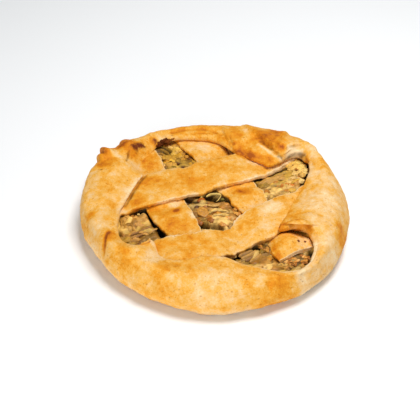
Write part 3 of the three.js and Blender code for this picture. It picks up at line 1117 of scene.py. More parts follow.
@dataclass
class StripSection:
    """A strip's section, walked round in steps along its underside, a wall, its top and a wall."""

    under_steps: int = 10
    wall_steps: int = 8
    top_steps: int = 38

    def __post_init__(self) -> None:
        """Work out shares of the half-width and thickness, and the points of the top, walls and edges."""
        t = np.linspace(0, 1, self.wall_steps)
        bulge = 0.95 + 0.05 * np.sin(t * np.pi * 0.6)
        under, over = np.linspace(-0.94, 0.94, self.under_steps), np.linspace(0.975, -0.975, self.top_steps)
        crown = 1.0 - 0.2 * np.abs(np.linspace(-1, 1, self.top_steps)) ** 7
        self.side = np.concatenate([under, bulge, over, -bulge[::-1]])
        self.up = np.concatenate([0 * under, 0.04 + 0.72 * t, crown, 0.76 - 0.72 * t])
        self.top = smoothstep(self.up, 0.55, 0.95)
        self.wall = (np.abs(self.side) > 0.95) & (self.up > 0.02) & (self.up < 0.97)
        self.rim = smoothstep(np.abs(self.side), 0.78, 0.97)


@dataclass
class Lattice:
    """The four strips, how they lie on the filling and on each other, and their dress.

    A cut layer is its browning, its place as a share of the thickness and its spread.
    """

    thickness: float = 5.0
    bed: float = 20.0
    dome: float = 2.2
    press: float = 2.4
    ease: tuple[float, float] = (2.0, 16.0)
    dome_radius: float = 95.0
    trim_radius: float = 97.0
    base_toast: float = 0.48
    cut_toast: float = 0.1
    cut_layers: tuple[Row, ...] = ((0.4, 0.42, 0.1), (0.2, 0.75, 0.08))
    flake_height: float = 0.45
    pale_edge: float = 0.12
    painted_foot_shade: float = 0.95
    line_steps: int = 120
    section: StripSection = field(default_factory=StripSection)
    strips: tuple[LatticeStrip, ...] = (
        LatticeStrip(
            "strip_cross_left",
            "cross_strip_left",
            Layer.LOWER,
            ((-79, 92), (-61, 49), (-37.6, -10), (-12.4, -66), (-3.4, -92)),
            (33, 33, 33, 29, 29),
            patches=(
                (-49, -10, 5, 0.2), (-60, 53, 7, 0.22), (-55, 45, 6, 0.22), (-31, -14, 3.2, 0.8),
                (-40, -19, 6, 0.2), (-35, -31, 6, 0.14), (-32, -4, 5, -0.4), (-16, -19, 5, -0.4),
            ),
            flares=((-1, 60, 12, -3.0),),
            sides=(0.2, 0.5),
            painted_shade_reach=(0.4, 0.8),
            seed=21,
        ),
        LatticeStrip(
            "strip_cross_right",
            "cross_strip_right",
            Layer.LOWER,
            ((-24, 100), (-1, 59), (17, 21), (47, -36), (62, -61.4)),
            (36, 31, 33, 30, 30),
            patches=(
                (-8, 70, 12, -0.24), (25, 10, 5, 0.34), (20, 12, 6, 0.3), (28, 2, 7, 0.12),
                (11, 18, 5, -0.3), (30, -6, 4, -0.18), (45, -57, 5, 0.4), (48, -66, 4, 0.4),
                (69, -55, 7, -0.16), (58, -55, 8, 0.06),
            ),
            burns=((65.2, -52.4, 1.2, 1.7), (70.6, -50.4, 1.0, 1.6)),
            swells=((55.5, -48, 10.5, 4.8), (62, -57, 9, 1.8)),
            flares=((-1, 22, 8, -6.5), (1, 6, 8, 4.2), (-1, 60, 11, -4.5), (-1, 82, 8, -3.5)),
            skirts=((-1, 20, 9, 6.0),),
            painted_shades=((18, -5, 10, 0.25), (40, -51, 8, -0.26)),
            sides=(0.2, 0.6),
            painted_shade_reach=(0.3, 0.45),
            round_end=1.2,
            seed=31,
        ),
        LatticeStrip(
            "strip_long_back",
            "long_strip_back",
            Layer.UPPER,
            ((-102, -8), (-60, 9), (0, 32.5), (30, 46), (58, 67), (70, 82)),
            (38, 39, 37, 24),
            # The pale patches at (30, 50), (42, 48) and (65, 56), under the overhanging fold, are painted
            # light that lifts dough lying in shade.
            patches=(
                (-80, -16, 6, -0.3), (-54, 19, 10, 0.16), (-66, 12, 8, 0.16), (-61, -1, 6, 0.14),
                (-25, 25, 8, 0.1), (22, 37, 12, 0.04), (-20, 24, 16, 0.07), (30, 50, 8, -0.34),
                (42, 48, 8, -0.26), (65, 56, 8, -0.3), (-65, -7, 5, 0.3), (9, 24, 5, -0.24),
            ),
            creases=(
                Crease(
                    ((-58.4, 28.4), (-61.2, 20.8), (-65, 11.4), (-69, 1.6), (-72.6, -8)),
                    *(0.7, 1.3, 0.15, 1.0),
                ),
                Crease(((20, 56.4), (30, 49.6), (41, 42), (47.5, 38)), 0.2, 1.6, 0.2, 0.1),
            ),
            skirts=((-1, 34, 22, 2.0), (-1, 12, 14, 3.4)),
            painted_shades=(
                (-60, -12, 16, 0.6), (-2, 14, 15, 0.6), (58, 48, 20, -0.24), (-71, -14, 6, 0.4),
                (-64, -14, 5, 0.3),
            ),
            sides=(0.3, 0.2),
            painted_shade_reach=(0.6, 0.16),
            ragged=0.7,
            seed=41,
        ),
        LatticeStrip(
            "strip_long_front",
            "long_strip_front",
            Layer.UPPER,
            ((-82, -76), (-38, -62), (11, -50), (40, -29), (88, 8)),
            (26, 29, 35, 38),
            patches=(
                (-11, -55, 9, 0.06), (-23, -49, 8, 0.1), (-27, -63, 8, 0.08), (8, -48, 14, -0.1),
                (41, -19, 10, -0.18), (49, -11, 9, -0.2), (42, -36, 9, -0.16), (9, -38, 6, 0.14),
                (62, 8, 6, -0.25),
            ),
            flares=((1, 89, 10, -4.0), (-1, 85, 12, -3.0), (1, 14, 9, -3.5)),
            sides=(0.2, 0.4),
            painted_shade_reach=(0.5, 0.85),
            ragged=0.95,
            seed=51,
        ),
    )

    def __post_init__(self) -> None:
        """Follow the strips of each layer once."""
        self.lines = {
            layer: [strip.line(self.line_steps) for strip in self.strips if strip.layer is layer]
            for layer in Layer
        }

    def outside(self, layer: Layer, plan: Array) -> Array:
        """Distance of points of the plan from a layer's strips.

        Args:
            layer: The layer.
            plan: Points of the plan.

        Returns:
            A distance for each point, less than 0 on a strip.
        """
        away = np.full(plan.shape[:-1], np.inf)
        for points, _, half in self.lines[layer]:
            for point, reach in zip(points, half):
                away = np.minimum(away, np.linalg.norm(plan - point, axis=-1) - reach)
        return away

    def cover(self, layer: Layer, plan: Array) -> Array:
        """How fully a layer's strips cover points of the plan, from 1 on a strip to 0 well outside."""
        return 1.0 - smoothstep(self.outside(layer, plan), *self.ease)

    def level(self, layer: Layer, plan: Array) -> Array:
        """Height of the underside of a layer's strips.

        Args:
            layer: The layer.
            plan: Points of the plan.

        Returns:
            A height for each point.
        """
        reach = np.minimum(1.0, np.linalg.norm(plan, axis=-1) / self.dome_radius)
        below = self.cover(Layer.LOWER, plan)
        level = self.bed + self.dome * (1 - reach**2) - self.press * below * self.cover(Layer.UPPER, plan)
        return level + (below * self.thickness if layer is Layer.UPPER else 0.0)

    def spread(self, strip: LatticeStrip) -> tuple[Array, Array]:
        """Lay a strip out in the plan, with its ragged edges, flares and skirts.

        Args:
            strip: The strip.

        Returns:
            Points of the plan in rings along the strip, and each ring's distance from the far end.
        """
        side, up = self.section.side, self.section.up
        points, across, half = strip.line(strip.steps)
        wander = np.stack([points[:, 0], points[:, 1], np.zeros(len(points))], axis=1)
        run = np.linspace(strip.length, 0.0, len(points))
        left, right = (
            half + Bumps(0.7, 14, seed, 2).at(wander) + Bumps(strip.ragged, 2.4, seed + 1).at(wander)
            for seed in (strip.seed, strip.seed + 5)
        )
        for way, at, spread, out in strip.flares:
            (left if way > 0 else right)[:] += out * bell((run - at) / spread)
        reach = np.where(side[None] > 0, left[:, None], right[:, None])
        for way, at, spread, out in strip.skirts:
            foot = (np.abs(side) > 0.9) * (side * way > 0) * (1 - up)
            reach = reach + foot * out * bell((run[:, None] - at) / spread)
        plan = points[:, None] + across[:, None] * (side * reach)[..., None]
        far = np.linalg.norm(plan, axis=-1, keepdims=True)
        return plan * np.minimum(1.0, self.trim_radius / far), run

    def browning(self, strip: LatticeStrip, grid: Array, brown: Array, painted_shade: Array) -> dict[str, Array]:
        """Mark a strip's browning, the tones of its walls and the painted shade at their feet.

        Args:
            strip: The strip.
            grid: Rings of points along the strip.
            brown: Browning by the creases at each point.
            painted_shade: Painted shade of the creases at each point.

        Returns:
            The marks of the dough's finish, painted shade among them.
        """
        section, seed, plan = self.section, strip.seed, grid[..., :2]
        toast = self.base_toast + patches_at(plan, strip.patches) + brown
        toast = toast - self.pale_edge * section.rim * section.top * (0.4 + noise(grid, 9, seed + 9))
        shade = patches_at(plan, strip.painted_shades)
        tone = np.where(section.side > 0, *strip.sides) + 0.6 * shade + Bumps(0.1, 3, seed + 8).at(grid)
        toast = np.where(section.wall, tone + 0.2 * (toast - self.base_toast), toast)
        foot = np.where(section.side > 0, *strip.painted_shade_reach) + shade
        foot = np.maximum(0.08, foot + Bumps(0.25, 2.2, seed + 10).at(grid * np.array([1.0, 1.0, 0.0])))
        # Painted shade: each wall is darkened from its foot up to its reach.
        dark = self.painted_foot_shade * (1 - smoothstep(section.up, 0.04, foot))
        burn = patches_at(plan, strip.burns) * section.top
        return {"toast": toast, "burn": burn, "painted_shade": np.where(section.wall, dark, painted_shade)}

    def body(self, strip: LatticeStrip) -> Body:
        """Shape one strip and mark its browning and painted shade.

        Args:
            strip: The strip.

        Returns:
            The closed strip.
        """
        section, seed = self.section, strip.seed
        plan, run = self.spread(strip)
        end = 1 - smoothstep(run[:, None], 0.0, 7.0)
        tuck = strip.round_end * end + 0.6 * strip.round_end * section.side**4
        thick = self.thickness - np.where(section.up > 0.5, tuck * section.up, 0.0)
        z = self.level(strip.layer, plan) + section.up * thick
        if strip.swells:
            z += patches_at(plan, strip.swells) * smoothstep(self.outside(Layer.UPPER, plan), -4.0, 2.0)
        grid = np.concatenate([plan, z[..., None]], axis=-1)
        depth, brown, painted_shade = pressed(grid, strip.creases, section.top)
        flakes = noise(grid * np.array([0.25, 0.25, 1.0]), 1.5, seed + 7) * section.wall
        lift = section.top * (Bumps(0.5, 11, seed + 1, 2).at(grid) + Bumps(0.22, 3, seed + 2).at(grid))
        lift = lift + self.flake_height * flakes - depth
        marks = self.browning(strip, grid, brown, painted_shade)
        return self.capped(grid + outward(grid) * lift[..., None], marks)

    def capped(self, grid: Array, marks: dict[str, Array]) -> Body:
        """Close a strip with cut faces that show its layers.

        Args:
            grid: Rings of points along the strip.
            marks: Numbers for each point of the grid, by name.

        Returns:
            The closed strip.
        """
        layers = self.cut_toast
        for brown, at, spread in self.cut_layers:
            layers = layers + brown * bell((self.section.up - at) / spread)
        rings = []
        for end, step in ((grid[0], grid[0] - grid[1]), (grid[-1], grid[-1] - grid[-2])):
            middle = end.mean(0)
            ahead = step.mean(0) / np.linalg.norm(step.mean(0))
            wide = np.linalg.norm(end - middle, axis=-1, keepdims=True)
            away = (end - middle) / wide
            inset = [(end - away * depth) + ahead * out for depth, out in ((0.35, 0.5), (0.9, 0.6))]
            flat = [middle + (end - middle) * np.array([k, k, 0.8]) + ahead * 0.6 for k in (0.7, 0.4)]
            rings.append(inset + flat)
        full = np.concatenate([np.array(rings[0][::-1]), grid, np.array(rings[1])])
        more = len(rings[0])
        full_marks = {key: np.pad(values, ((more, more), (0, 0)), "edge") for key, values in marks.items()}
        full_marks["toast"][:more] = layers
        full_marks["toast"][-more:] = layers
        return loft(full, full[0].mean(0), full[-1].mean(0), full_marks)

    def dress(self, finish: DoughFinish) -> list[bpy.types.Object]:
        """Make the strips' pieces and give them their finish.

        Args:
            finish: The finish of the dough.

        Returns:
            The four pieces.
        """
        material = finish.material()
        pieces = []
        for strip in self.strips:
            piece = self.body(strip).to_object(strip.piece)
            piece.data.materials.append(material)
            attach(piece, "root")
            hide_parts(strip.node)
            pieces.append(piece)
        return pieces


BAKED_TINT = "c89448"
BAKED_SHARE = 0.25
BAKED_FILTER = (1.0, 0.8, 0.36)
DARK_TINT = 0.12


def warmed(code: str) -> Array:
    """Draw a vegetable's own colour towards the golden brown of the baked filling.

    Args:
        code: Colour as six hexadecimal digits.

    Returns:
        Red, green and blue as a shader takes them.
    """
    own, baked = (np.array(linear(c)[:3]) for c in (code, BAKED_TINT))
    share = BAKED_SHARE * min(1.0, own.mean() / DARK_TINT)
    return (own + share * (baked - own)) * np.array(BAKED_FILTER)


@dataclass(frozen=True)
class Lump:
    """A chopped chunk or slice of vegetable, soft at its corners."""

    x: float
    y: float
    z: float
    half: Row
    tint: str
    turn: float = 0.0
    tilt: float = 0.0
    rough: float = 0.3
    cuts: int = 6
    cut_range: Row = (0.6, 1.0)
    corner: int = 6
    sunk: float = 1.1
    bump_height: float = 0.16
    bump_size: float = 0.9
    warp_size: float = 1.8
    painted_shades: Row = (0.68, 0.32)
    mottle: float = 0.2

    @property
    def seed(self) -> int:
        """Seed of the chunk's own cuts, taken from where it lies."""
        return int(abs(self.x * 131) + abs(self.y * 977))

    def body(self, rings: int = 22, count: int = 32) -> Body:
        """Shape the chunk.

        Args:
            rings: How many rings from its foot to its top.
            count: How many points go round.

        Returns:
            The closed chunk, with painted shade darkening it towards its foot.
        """
        rise = np.linspace(-np.pi / 2, np.pi / 2, rings + 2)[1:-1, None]
        go = np.arange(count) / count * 2 * np.pi
        flat = np.broadcast_to(np.cos(rise), (rings, count))
        unit = np.stack([flat * np.cos(go), flat * np.sin(go), np.sin(rise) + 0 * go], axis=-1)
        pick = np.random.default_rng(self.seed)
        facing = pick.normal(size=(self.cuts, 3))
        facing /= np.linalg.norm(facing, axis=1, keepdims=True)
        reach = np.maximum(unit @ facing.T, 0.0) / pick.uniform(*self.cut_range, self.cuts)
        shape = unit / (1 + (reach**self.corner).sum(-1, keepdims=True)) ** (1 / self.corner)
        size = min(self.half)
        place = np.array([self.x, self.y, self.z - self.sunk])
        grid = shape * np.array(self.half)
        at = grid + place
        bumps = noise(at, size * self.bump_size, 71, 3)
        warp = swirl(at, size * self.warp_size, 72)
        grid = grid + size * (self.rough * warp + self.bump_height * unit * bumps[..., None])
        stand = tilted(self.tilt, self.turn)
        grid = grid @ stand.T + place
        # Painted shade: the chunk is darker towards its foot.
        high = smoothstep((grid[..., 2] - self.z) / max(self.half[2], 0.4 * size), -0.9, 0.7)
        shade = (self.painted_shades[0] + self.painted_shades[1] * high) * (1 + self.mottle * bumps)
        tint = warmed(self.tint) * shade[..., None]
        tip = stand @ np.array([0, 0, self.half[2]])
        return loft(grid, place - tip, place + tip, {"tint": tint})


@dataclass(frozen=True)
class Ribbon:
    """A layer, shred or ring of vegetable that stands along a path."""

    path: tuple[Row, ...]
    z: float
    wide: float
    thick: float
    tint: str
    lean: float = 20.0
    span_steps: int = 24
    least_end: float = 0.05
    sag: Bumps = Bumps(0.5, 5, 81)
    wave: Bumps = Bumps(0.18, 3, 82, 2)
    mottle: Bumps = Bumps(0.12, 2, 83, 2)
    painted_shades: Row = (0.62, 0.38)

    def body(self, steps: int = 34, count: int = 14) -> Body:
        """Shape the ribbon.

        Args:
            steps: How many rings along the path.
            count: How many points go round its section.

        Returns:
            The closed ribbon, with painted shade darkening it towards its foot, and tapered at its ends.
        """
        flat = np.array([(x, y, self.z) for x, y in self.path])
        share = np.linspace(0.0, 1.0, steps)
        points = evenly(spline(flat, [self.span_steps] * (len(flat) - 1)), share)
        points[:, 2] += self.sag.at(points)
        tangent = np.gradient(points, axis=0)
        across = np.stack([-tangent[:, 1], tangent[:, 0], 0 * share], axis=1)
        across /= np.linalg.norm(across, axis=1, keepdims=True)
        lean = math.radians(self.lean)
        up = np.array([0.0, 0.0, math.cos(lean)]) + across * math.sin(lean)
        out = across * math.cos(lean) - np.array([0.0, 0.0, math.sin(lean)])
        taper = np.sqrt(np.clip(1 - (2 * share - 1) ** 6, self.least_end, 1))[:, None]
        go = np.arange(count) / count * 2 * np.pi
        wave = 1 + self.wave.at(points)[:, None]
        high = np.sin(go) * self.wide / 2 * taper * wave
        side = -np.cos(go) * self.thick / 2 * taper * wave
        grid = points[:, None] + up[:, None] * high[..., None] + out[:, None] * side[..., None]
        foot, rise = self.painted_shades
        # Painted shade: the ribbon is darker on its lower side.
        shade = foot + rise * smoothstep(np.sin(go), -0.8, 0.6) + self.mottle.at(grid)
        tint = warmed(self.tint) * shade[..., None]
        return loft(grid, points[0], points[-1], {"tint": tint})


@dataclass(frozen=True)
class Slice:
    """A thin soft slice of vegetable, curled across its length."""

    x: float
    y: float
    z: float
    long: float
    wide: float
    tint: str
    turn: float = 0.0
    tilt: float = 0.0
    curl: float = 60.0
    thick: float = 0.8
    end_share: float = 0.985
    droop: float = 0.12
    warp: float = 0.5
    ragged: Bumps = Bumps(0.35, 3.2, 91)
    fibre: Bumps = Bumps(0.14, 1.1, 95, 2)
    fibre_stretch: Row = (0.25, 1.0, 0.4)
    painted_shades: Row = (0.7, 0.3)

    def body(self, steps: int = 13, count: int = 14) -> Body:
        """Shape the slice.

        Args:
            steps: How many rings along its length.
            count: How many points go round its section.

        Returns:
            The closed slice, streaked along its length, with painted shade darkening its foot.
        """
        share = np.linspace(-self.end_share, self.end_share, steps)[:, None]
        go = np.arange(count) / count * 2 * np.pi
        place = np.array([self.x, self.y, self.z])
        both = np.sign(np.cos(go)) + 0 * share
        edge = np.stack([share * self.long + 0 * go, both, 0 * share * go], axis=-1)
        half = self.wide / 2 * np.sqrt(1 - np.abs(share) ** 3) * (1 + self.ragged.at(edge + place))
        bend = math.radians(self.curl) / 2
        spot = np.cos(go) * half
        lift = np.sign(np.sin(go)) * np.abs(np.sin(go)) ** 0.6 * self.thick / 2 * (1 - 0.6 * share**4)
        turned = bend * spot / (self.wide / 2)
        radius = self.wide / 2 / bend
        along = share * self.long / 2 + 0 * go
        up = radius * (np.cos(turned) - np.cos(0.6 * bend)) + lift * np.cos(turned)
        up = up - self.droop * self.long * share**2
        grid = np.stack([along, (radius + lift) * np.sin(turned), up], axis=-1)
        grid = grid + self.warp * swirl(grid + place, 4.5, 92)
        fibre = self.fibre.at(grid * np.array(self.fibre_stretch) + place)
        grid = grid @ tilted(self.tilt, self.turn).T
        # Painted shade: the slice is darker towards its foot.
        shade = self.painted_shades[0] + self.painted_shades[1] * smoothstep(grid[..., 2], -1.2, 0.7) + fibre
        grid = grid + place
        return loft(grid, grid[0].mean(0), grid[-1].mean(0), {"tint": warmed(self.tint) * shade[..., None]})


BIT_LENGTHS = (2.6, 5.4)
BIT_WIDTHS = (1.6, 3.0)
BIT_HEIGHTS = (-0.9, 0.6)
BIT_TURN = 40
BIT_TILT = 25
BIT_CURL = 50
BIT_THICKNESS = 1.0


def strewn(
    place: Row, spread: Row, count: int, z: float, tints: Sequence[str], turn: float
) -> tuple[Slice, ...]:
    """Small bits strewn about a place.

    Args:
        place: Middle of the bits in the plan.
        spread: Reach of the bits along their lie and across it.
        count: How many bits.
        z: Height of the bits.
        tints: Colours the bits take.
        turn: Which way they lie, in degrees.

    Returns:
        The bits.
    """
    pick = np.random.default_rng(count)
    lie = math.radians(turn)
    bits = []
    for k in range(count):
        far, go = math.sqrt(pick.uniform(0, 1)), pick.uniform(0, 2 * math.pi)
        along, across = spread[0] * far * math.cos(go), spread[1] * far * math.sin(go)
        x = place[0] + along * math.cos(lie) - across * math.sin(lie)
        y = place[1] + along * math.sin(lie) + across * math.cos(lie)
        long, wide = pick.uniform(*BIT_LENGTHS), pick.uniform(*BIT_WIDTHS)
        way, tilt = turn + pick.normal(0, BIT_TURN), pick.normal(0, BIT_TILT)
        high, tint = z + pick.uniform(*BIT_HEIGHTS), tints[k % len(tints)]
        bits.append(Slice(x, y, high, long, wide, tint, way, tilt, BIT_CURL, BIT_THICKNESS))
    return tuple(bits)


@dataclass(frozen=True)
class Flow:
    """Which way the soft layers run about a place, and the colours of the slices there."""

    x: float
    y: float
    turn: float
    tints: tuple[str, ...]


@dataclass(frozen=True)
class Hollow:
    """A gap where the filling has sunk away along a path, painted dark as shade."""

    path: tuple[Row, ...]
    width: float
    depth: float

    def share(self, plan: Array) -> Array:
        """How far points of the plan lie in the gap, from 0 to 1."""
        return bell(path_distance(plan, self.path) / self.width)


@dataclass(frozen=True)
class Vegetable:
    """All the pieces of one kind of vegetable, with their finish."""

    piece: str
    finish: VegetableFinish
    parts: tuple[Lump | Ribbon | Slice, ...]

    def dress(self) -> bpy.types.Object:
        """Make one piece of all the parts and give it its finish.

        Returns:
            The piece.
        """
        made = joined([part.body() for part in self.parts]).to_object(self.piece)
        made.data.materials.append(self.finish.material())
        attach(made, "root")
        return made


LEEK = (
    Ribbon(((-54, 75), (-48.2, 76), (-42.4, 73.8), (-37, 68.6)), 22.8, 2.6, 0.7, "7c6a2e", 58),
    Ribbon(((-53.5, 73), (-48.4, 74), (-43.2, 71.8), (-38.4, 67)), 22.5, 2.4, 0.7, "4a3c14", 58),
    Ribbon(((-52.6, 71), (-48.4, 72), (-44, 69.9), (-40, 65.6)), 22.5, 2.6, 0.7, "8c763c", 58),
    Ribbon(((-51.6, 69), (-48.4, 69.8), (-45, 68)), 22.3, 2.4, 0.7, "5c4c1c", 58),
    Ribbon(((-50.4, 66.6), (-47.4, 67), (-44.4, 65)), 22.3, 2.6, 0.8, "a0823f", 58),
    Ribbon(((18.6, -63.6), (24, -60.4), (30, -56.6)), 22.0, 3.4, 0.8, "987a44", 62),
    Ribbon(((20.6, -66), (27, -62), (33, -57)), 22.2, 3.2, 0.8, "b89658", 62),
    Ribbon(((23.6, -68.4), (30, -63.6), (35.4, -58)), 22.0, 3.4, 0.8, "7c5c30", 62),
    Ribbon(((27, -70.4), (33, -65.2), (37.4, -60)), 22.0, 3.4, 0.8, "b08c4c", 62),
    Ribbon(((31, -72), (36, -67), (39.6, -63)), 21.8, 3.2, 0.8, "9c7e40", 62),
    Ribbon(((11.8, -65), (14.6, -63.8), (17, -63.4)), 22.2, 2.6, 1.0, "ece0c4", 50),
    Lump(6.4, 4.6, 22.8, (2.0, 1.4, 1.2), "6c8654"),
    *strewn((38, -52.6), (6.0, 2.6), 16, 22.6, ("b88c4c", "94683a", "cca060", "7c5228"), -58),
)
ONION = (
    Ribbon(
        ((-7, 6.2), (-3.7, 9.4), (1.2, 10.3), (5, 8.8), (4.6, 5.6), (3.2, 2.6), (1.2, 0.5)),
        *(23.3, 2.2, 0.9, "eee6bc", 25),
    ),
    Ribbon(((-11, 4.2), (-10, 7.7), (-7.7, 9.8)), 22.8, 2.4, 0.9, "d6c890", 30),
    Lump(-9.6, -11.4, 23.2, (5.2, 6.0, 1.7), "e2ae68", 20),
    Lump(3.6, -15.4, 23.2, (10.0, 6.6, 1.9), "e2a85e", 14),
    Lump(7.4, -22.8, 22.8, (6.6, 3.8, 1.6), "d89c50", 22),
    Lump(7.0, -6.2, 22.8, (6.0, 3.4, 1.6), "c08844", 12),
    Ribbon(((-3, -13.4), (3, -11.6), (10, -12.4)), 24.5, 2.2, 0.6, "f0d8a4", 72),
    Ribbon(((-1, -18.2), (6, -17), (12, -18.4)), 24.5, 2.4, 0.6, "eed49c", 72),
    Ribbon(((-6, -5), (-1, -6), (4, -4.6)), 24.0, 2.0, 0.6, "e0be82", 72),
    Lump(-44.2, 51.2, 22.8, (2.2, 3.0, 1.6), "f4dab8"),
    Lump(-53.2, 73.3, 26.2, (1.8, 1.6, 1.6), "f0c8b0"),
)
MUSHROOM = (
    Lump(-70.6, -26.6, 22.4, (6.0, 11.4, 1.8), "d6b070", 6),
    Lump(-59.8, -21.6, 22.8, (6.4, 8.2, 1.9), "d4aa7a", -10),
    Lump(-64.6, -37.6, 22.0, (7.6, 5.0, 1.7), "cca468", 30),
    Lump(-56.4, -36.6, 21.8, (7.4, 3.4, 1.5), "ac8450", 33),
    Lump(-68.4, -43.6, 22.0, (5.4, 3.6, 1.6), "ccac54", -10),
    # The next two pieces lie low in the gap beside the strip and are tinted darker as painted shade.
    Lump(-49.4, -32, 20.6, (4.0, 7.6, 1.5), "946c3c", 24),
    Lump(-45, -42, 20.4, (3.2, 6.0, 1.5), "a07840", 24),
    Lump(-62.5, -43.6, 22.4, (5.2, 3.0, 1.6), "e0b478", 20),
    # A near-white speck on the slab stands for a bright glint: a painted highlight.
    Lump(-61.6, -15.4, 24.2, (1.5, 1.3, 0.8), "fff2cc"),
    Ribbon(((-66.4, -40.4), (-61, -37), (-54, -32), (-50, -30.6)), 23.2, 1.8, 0.5, "926838", 66),
    Ribbon(((-65, -44), (-60, -41), (-54.4, -36.8), (-50.6, -33.4)), 22.9, 1.8, 0.5, "9a703e", 66),
    Ribbon(((-66.6, -29), (-66, -23), (-64.4, -18)), 23.4, 1.4, 0.5, "a07c46", 60),
    Lump(48.6, 29.4, 23.0, (13.4, 5.4, 1.9), "ccac7c", 33, 8),
    Lump(58.4, 33.4, 22.8, (6.4, 5.0, 1.8), "d0ae7c", 30),
    Lump(60, -67, 20.2, (5.0, 4.0, 1.6), "a8743c", 30),
    Lump(68, -65, 20.2, (5.4, 4.0, 1.6), "a06c38", 30),
    Lump(56, -72.6, 20.0, (5.0, 3.0, 1.5), "a88450", 25),
    *strewn(
        *((63.5, -67.4), (10.5, 5.2), 34, 21.2),
        ("ecc4a0", "d8a874", "c48e4c", "a46c38", "8c562c", "d09858"),
        30,
    ),
    *strewn((54.5, -72.6), (5.0, 2.6), 10, 20.9, ("ccae74", "b4904c", "94703a", "d8bc88"), 20),
    *strewn((66, -75.6), (8.0, 2.4), 14, 20.4, ("b4904c", "8c562c", "cca868", "74481f"), 38),
)
CURD = (
    Lump(64.8, 50.6, 22.4, (4.3, 3.2, 1.7), "fce096", 30, 0, 0.5, 3),
    Lump(67.4, 53.2, 22.6, (3.8, 3.0, 1.8), "ffeca4", -20, 0, 0.5, 3),
    Lump(70.4, 55.2, 22.6, (3.8, 3.2, 1.8), "ffeeac", 10, 0, 0.5, 3),
    Lump(73.2, 52.8, 22.8, (3.8, 3.0, 1.8), "fff6bc", 50, 0, 0.5, 3),
    Lump(70.2, 50.6, 22.6, (4.1, 3.0, 1.7), "fee29c", -40, 0, 0.5, 3),
    Lump(75.8, 49, 22.8, (3.8, 3.5, 1.8), "fff8cc", 20, 0, 0.5, 3),
    Lump(72.8, 47.2, 22.4, (4.3, 3.0, 1.7), "ffecb4", 15, 0, 0.5, 3),
    Lump(67.6, 46.8, 22.4, (4.9, 3.2, 1.7), "f6dc9e", 35, 0, 0.5, 3),
    Lump(77.4, 44.4, 22.8, (3.5, 3.8, 1.8), "fffad8", 60, 0, 0.5, 3),
    Lump(74, 43, 22.4, (4.1, 3.2, 1.7), "feecc0", -15, 0, 0.5, 3),
    Lump(70.8, 41.6, 22.4, (4.3, 3.5, 1.7), "f8e8bc", 25, 0, 0.5, 3),
    Lump(77.4, 40, 22.6, (3.2, 3.5, 1.7), "fff4d0", 0, 0, 0.5, 3),
    Lump(68.8, 38.6, 23.0, (4.2, 3.6, 1.8), "f4e0bc"),
    Lump(75.2, 36.6, 23.0, (3.0, 4.0, 1.8), "e0c48c"),
    Lump(66.6, 30.8, 23.0, (6.2, 4.4, 1.8), "f6e4d4"),
    Lump(72.6, 29.6, 23.0, (3.6, 4.2, 1.8), "fef2d8"),
    Lump(64.6, 20.4, 22.8, (5.2, 3.4, 1.7), "f4dcc0", 30),
    Lump(69.2, 17.6, 22.6, (3.8, 3.4, 1.6), "ece0c2", 40),
    Lump(60.4, 13.2, 22.4, (4.2, 3.2, 1.6), "f2dcb4", 35),
    Lump(-42.4, 61.4, 22.2, (5.8, 4.6, 1.8), "d0ae58", -10),
    Lump(-36.4, 61.6, 22.4, (4.8, 5.0, 1.9), "e0b850"),
    Lump(-31.4, 64.6, 22.4, (4.2, 4.4, 1.9), "e4ba46"),
    Lump(-27, 57.4, 22.4, (4.6, 4.2, 1.8), "dcb05c"),
    Lump(-36.8, 52.6, 22.2, (6.2, 4.2, 1.8), "e0b86c", 10),
    Lump(-21.6, 55, 22.2, (4.2, 3.2, 1.6), "d4a454", -30),
    Lump(-33, 71.6, 22.4, (3.6, 4.2, 1.8), "d8ae5e", 30),
    Lump(75, -44, 22.0, (4.6, 7.0, 2.2), "dca860", -30),
    Lump(-35.6, 77.4, 22.6, (3.0, 2.6, 1.8), "ccaa5c", -50),
    Lump(-32, 72.8, 22.8, (3.0, 2.6, 1.8), "d8b45c", -50),
    Lump(-28.4, 67.6, 22.8, (3.2, 2.4, 1.8), "d0a44c", -50),
    Lump(-24.6, 62.6, 22.8, (3.0, 2.4, 1.8), "c8984c", -50),
    Lump(-20.6, 57.8, 22.6, (3.0, 2.4, 1.8), "c09048", -50),
)
ROOT = (
    Lump(-3.7, -2, 23.8, (1.7, 1.2, 0.9), "a8443a"),
    Lump(-0.6, -3.2, 23.8, (2.0, 1.3, 0.9), "dcae3c"),
    Lump(-1.4, -16.6, 24.5, (1.3, 1.1, 0.8), "8c3c1c"),
    Lump(-3.2, -18.6, 23.4, (3.0, 4.4, 1.6), "d8924e", 10),
    Lump(-6.8, -3.6, 22.8, (3.0, 2.4, 1.4), "b8884a"),
    Lump(15, -14, 22.8, (3.4, 6.0, 1.5), "b88044", 26),
    Lump(-15.4, -3.4, 22.4, (4.2, 5.0, 1.5), "947038", 30),
    Lump(-13.2, -20.6, 22.4, (3.4, 4.8, 1.4), "a06c34", 24),
    Lump(12.6, -7, 22.4, (3.0, 4.2, 1.4), "8c5a2c", 30),
    *strewn((19, -13), (7.5, 2.4), 12, 23.2, ("dca058", "c07c34", "e4b474", "a86428"), -62),
    Lump(56, 22.2, 23.0, (4.4, 2.6, 1.6), "cc7c2c", 10),
    Lump(60.4, 24, 23.0, (3.0, 2.4, 1.5), "d89040", 30),
    Lump(70.2, 43.4, 24.2, (1.7, 1.5, 1.1), "b8721e"),
    Lump(38, -69, 21.6, (4.2, 3.2, 1.6), "d8a048", 30),
    Lump(42, -66.2, 21.8, (3.2, 3.2, 1.5), "d69a3c"),
    Lump(-31.6, 52.2, 23.6, (1.5, 1.2, 0.9), "6c3c18"),
    Lump(-28, 46.6, 23.6, (1.5, 1.2, 0.9), "6c3c18"),
    Lump(-21.8, 58.6, 23.8, (1.6, 1.2, 0.9), "74441c"),
    Lump(-16.4, 55.2, 23.8, (1.5, 1.2, 0.9), "74441c"),
    Lump(-26.4, 68, 23.6, (1.6, 1.0, 0.8), "94642c"),
)
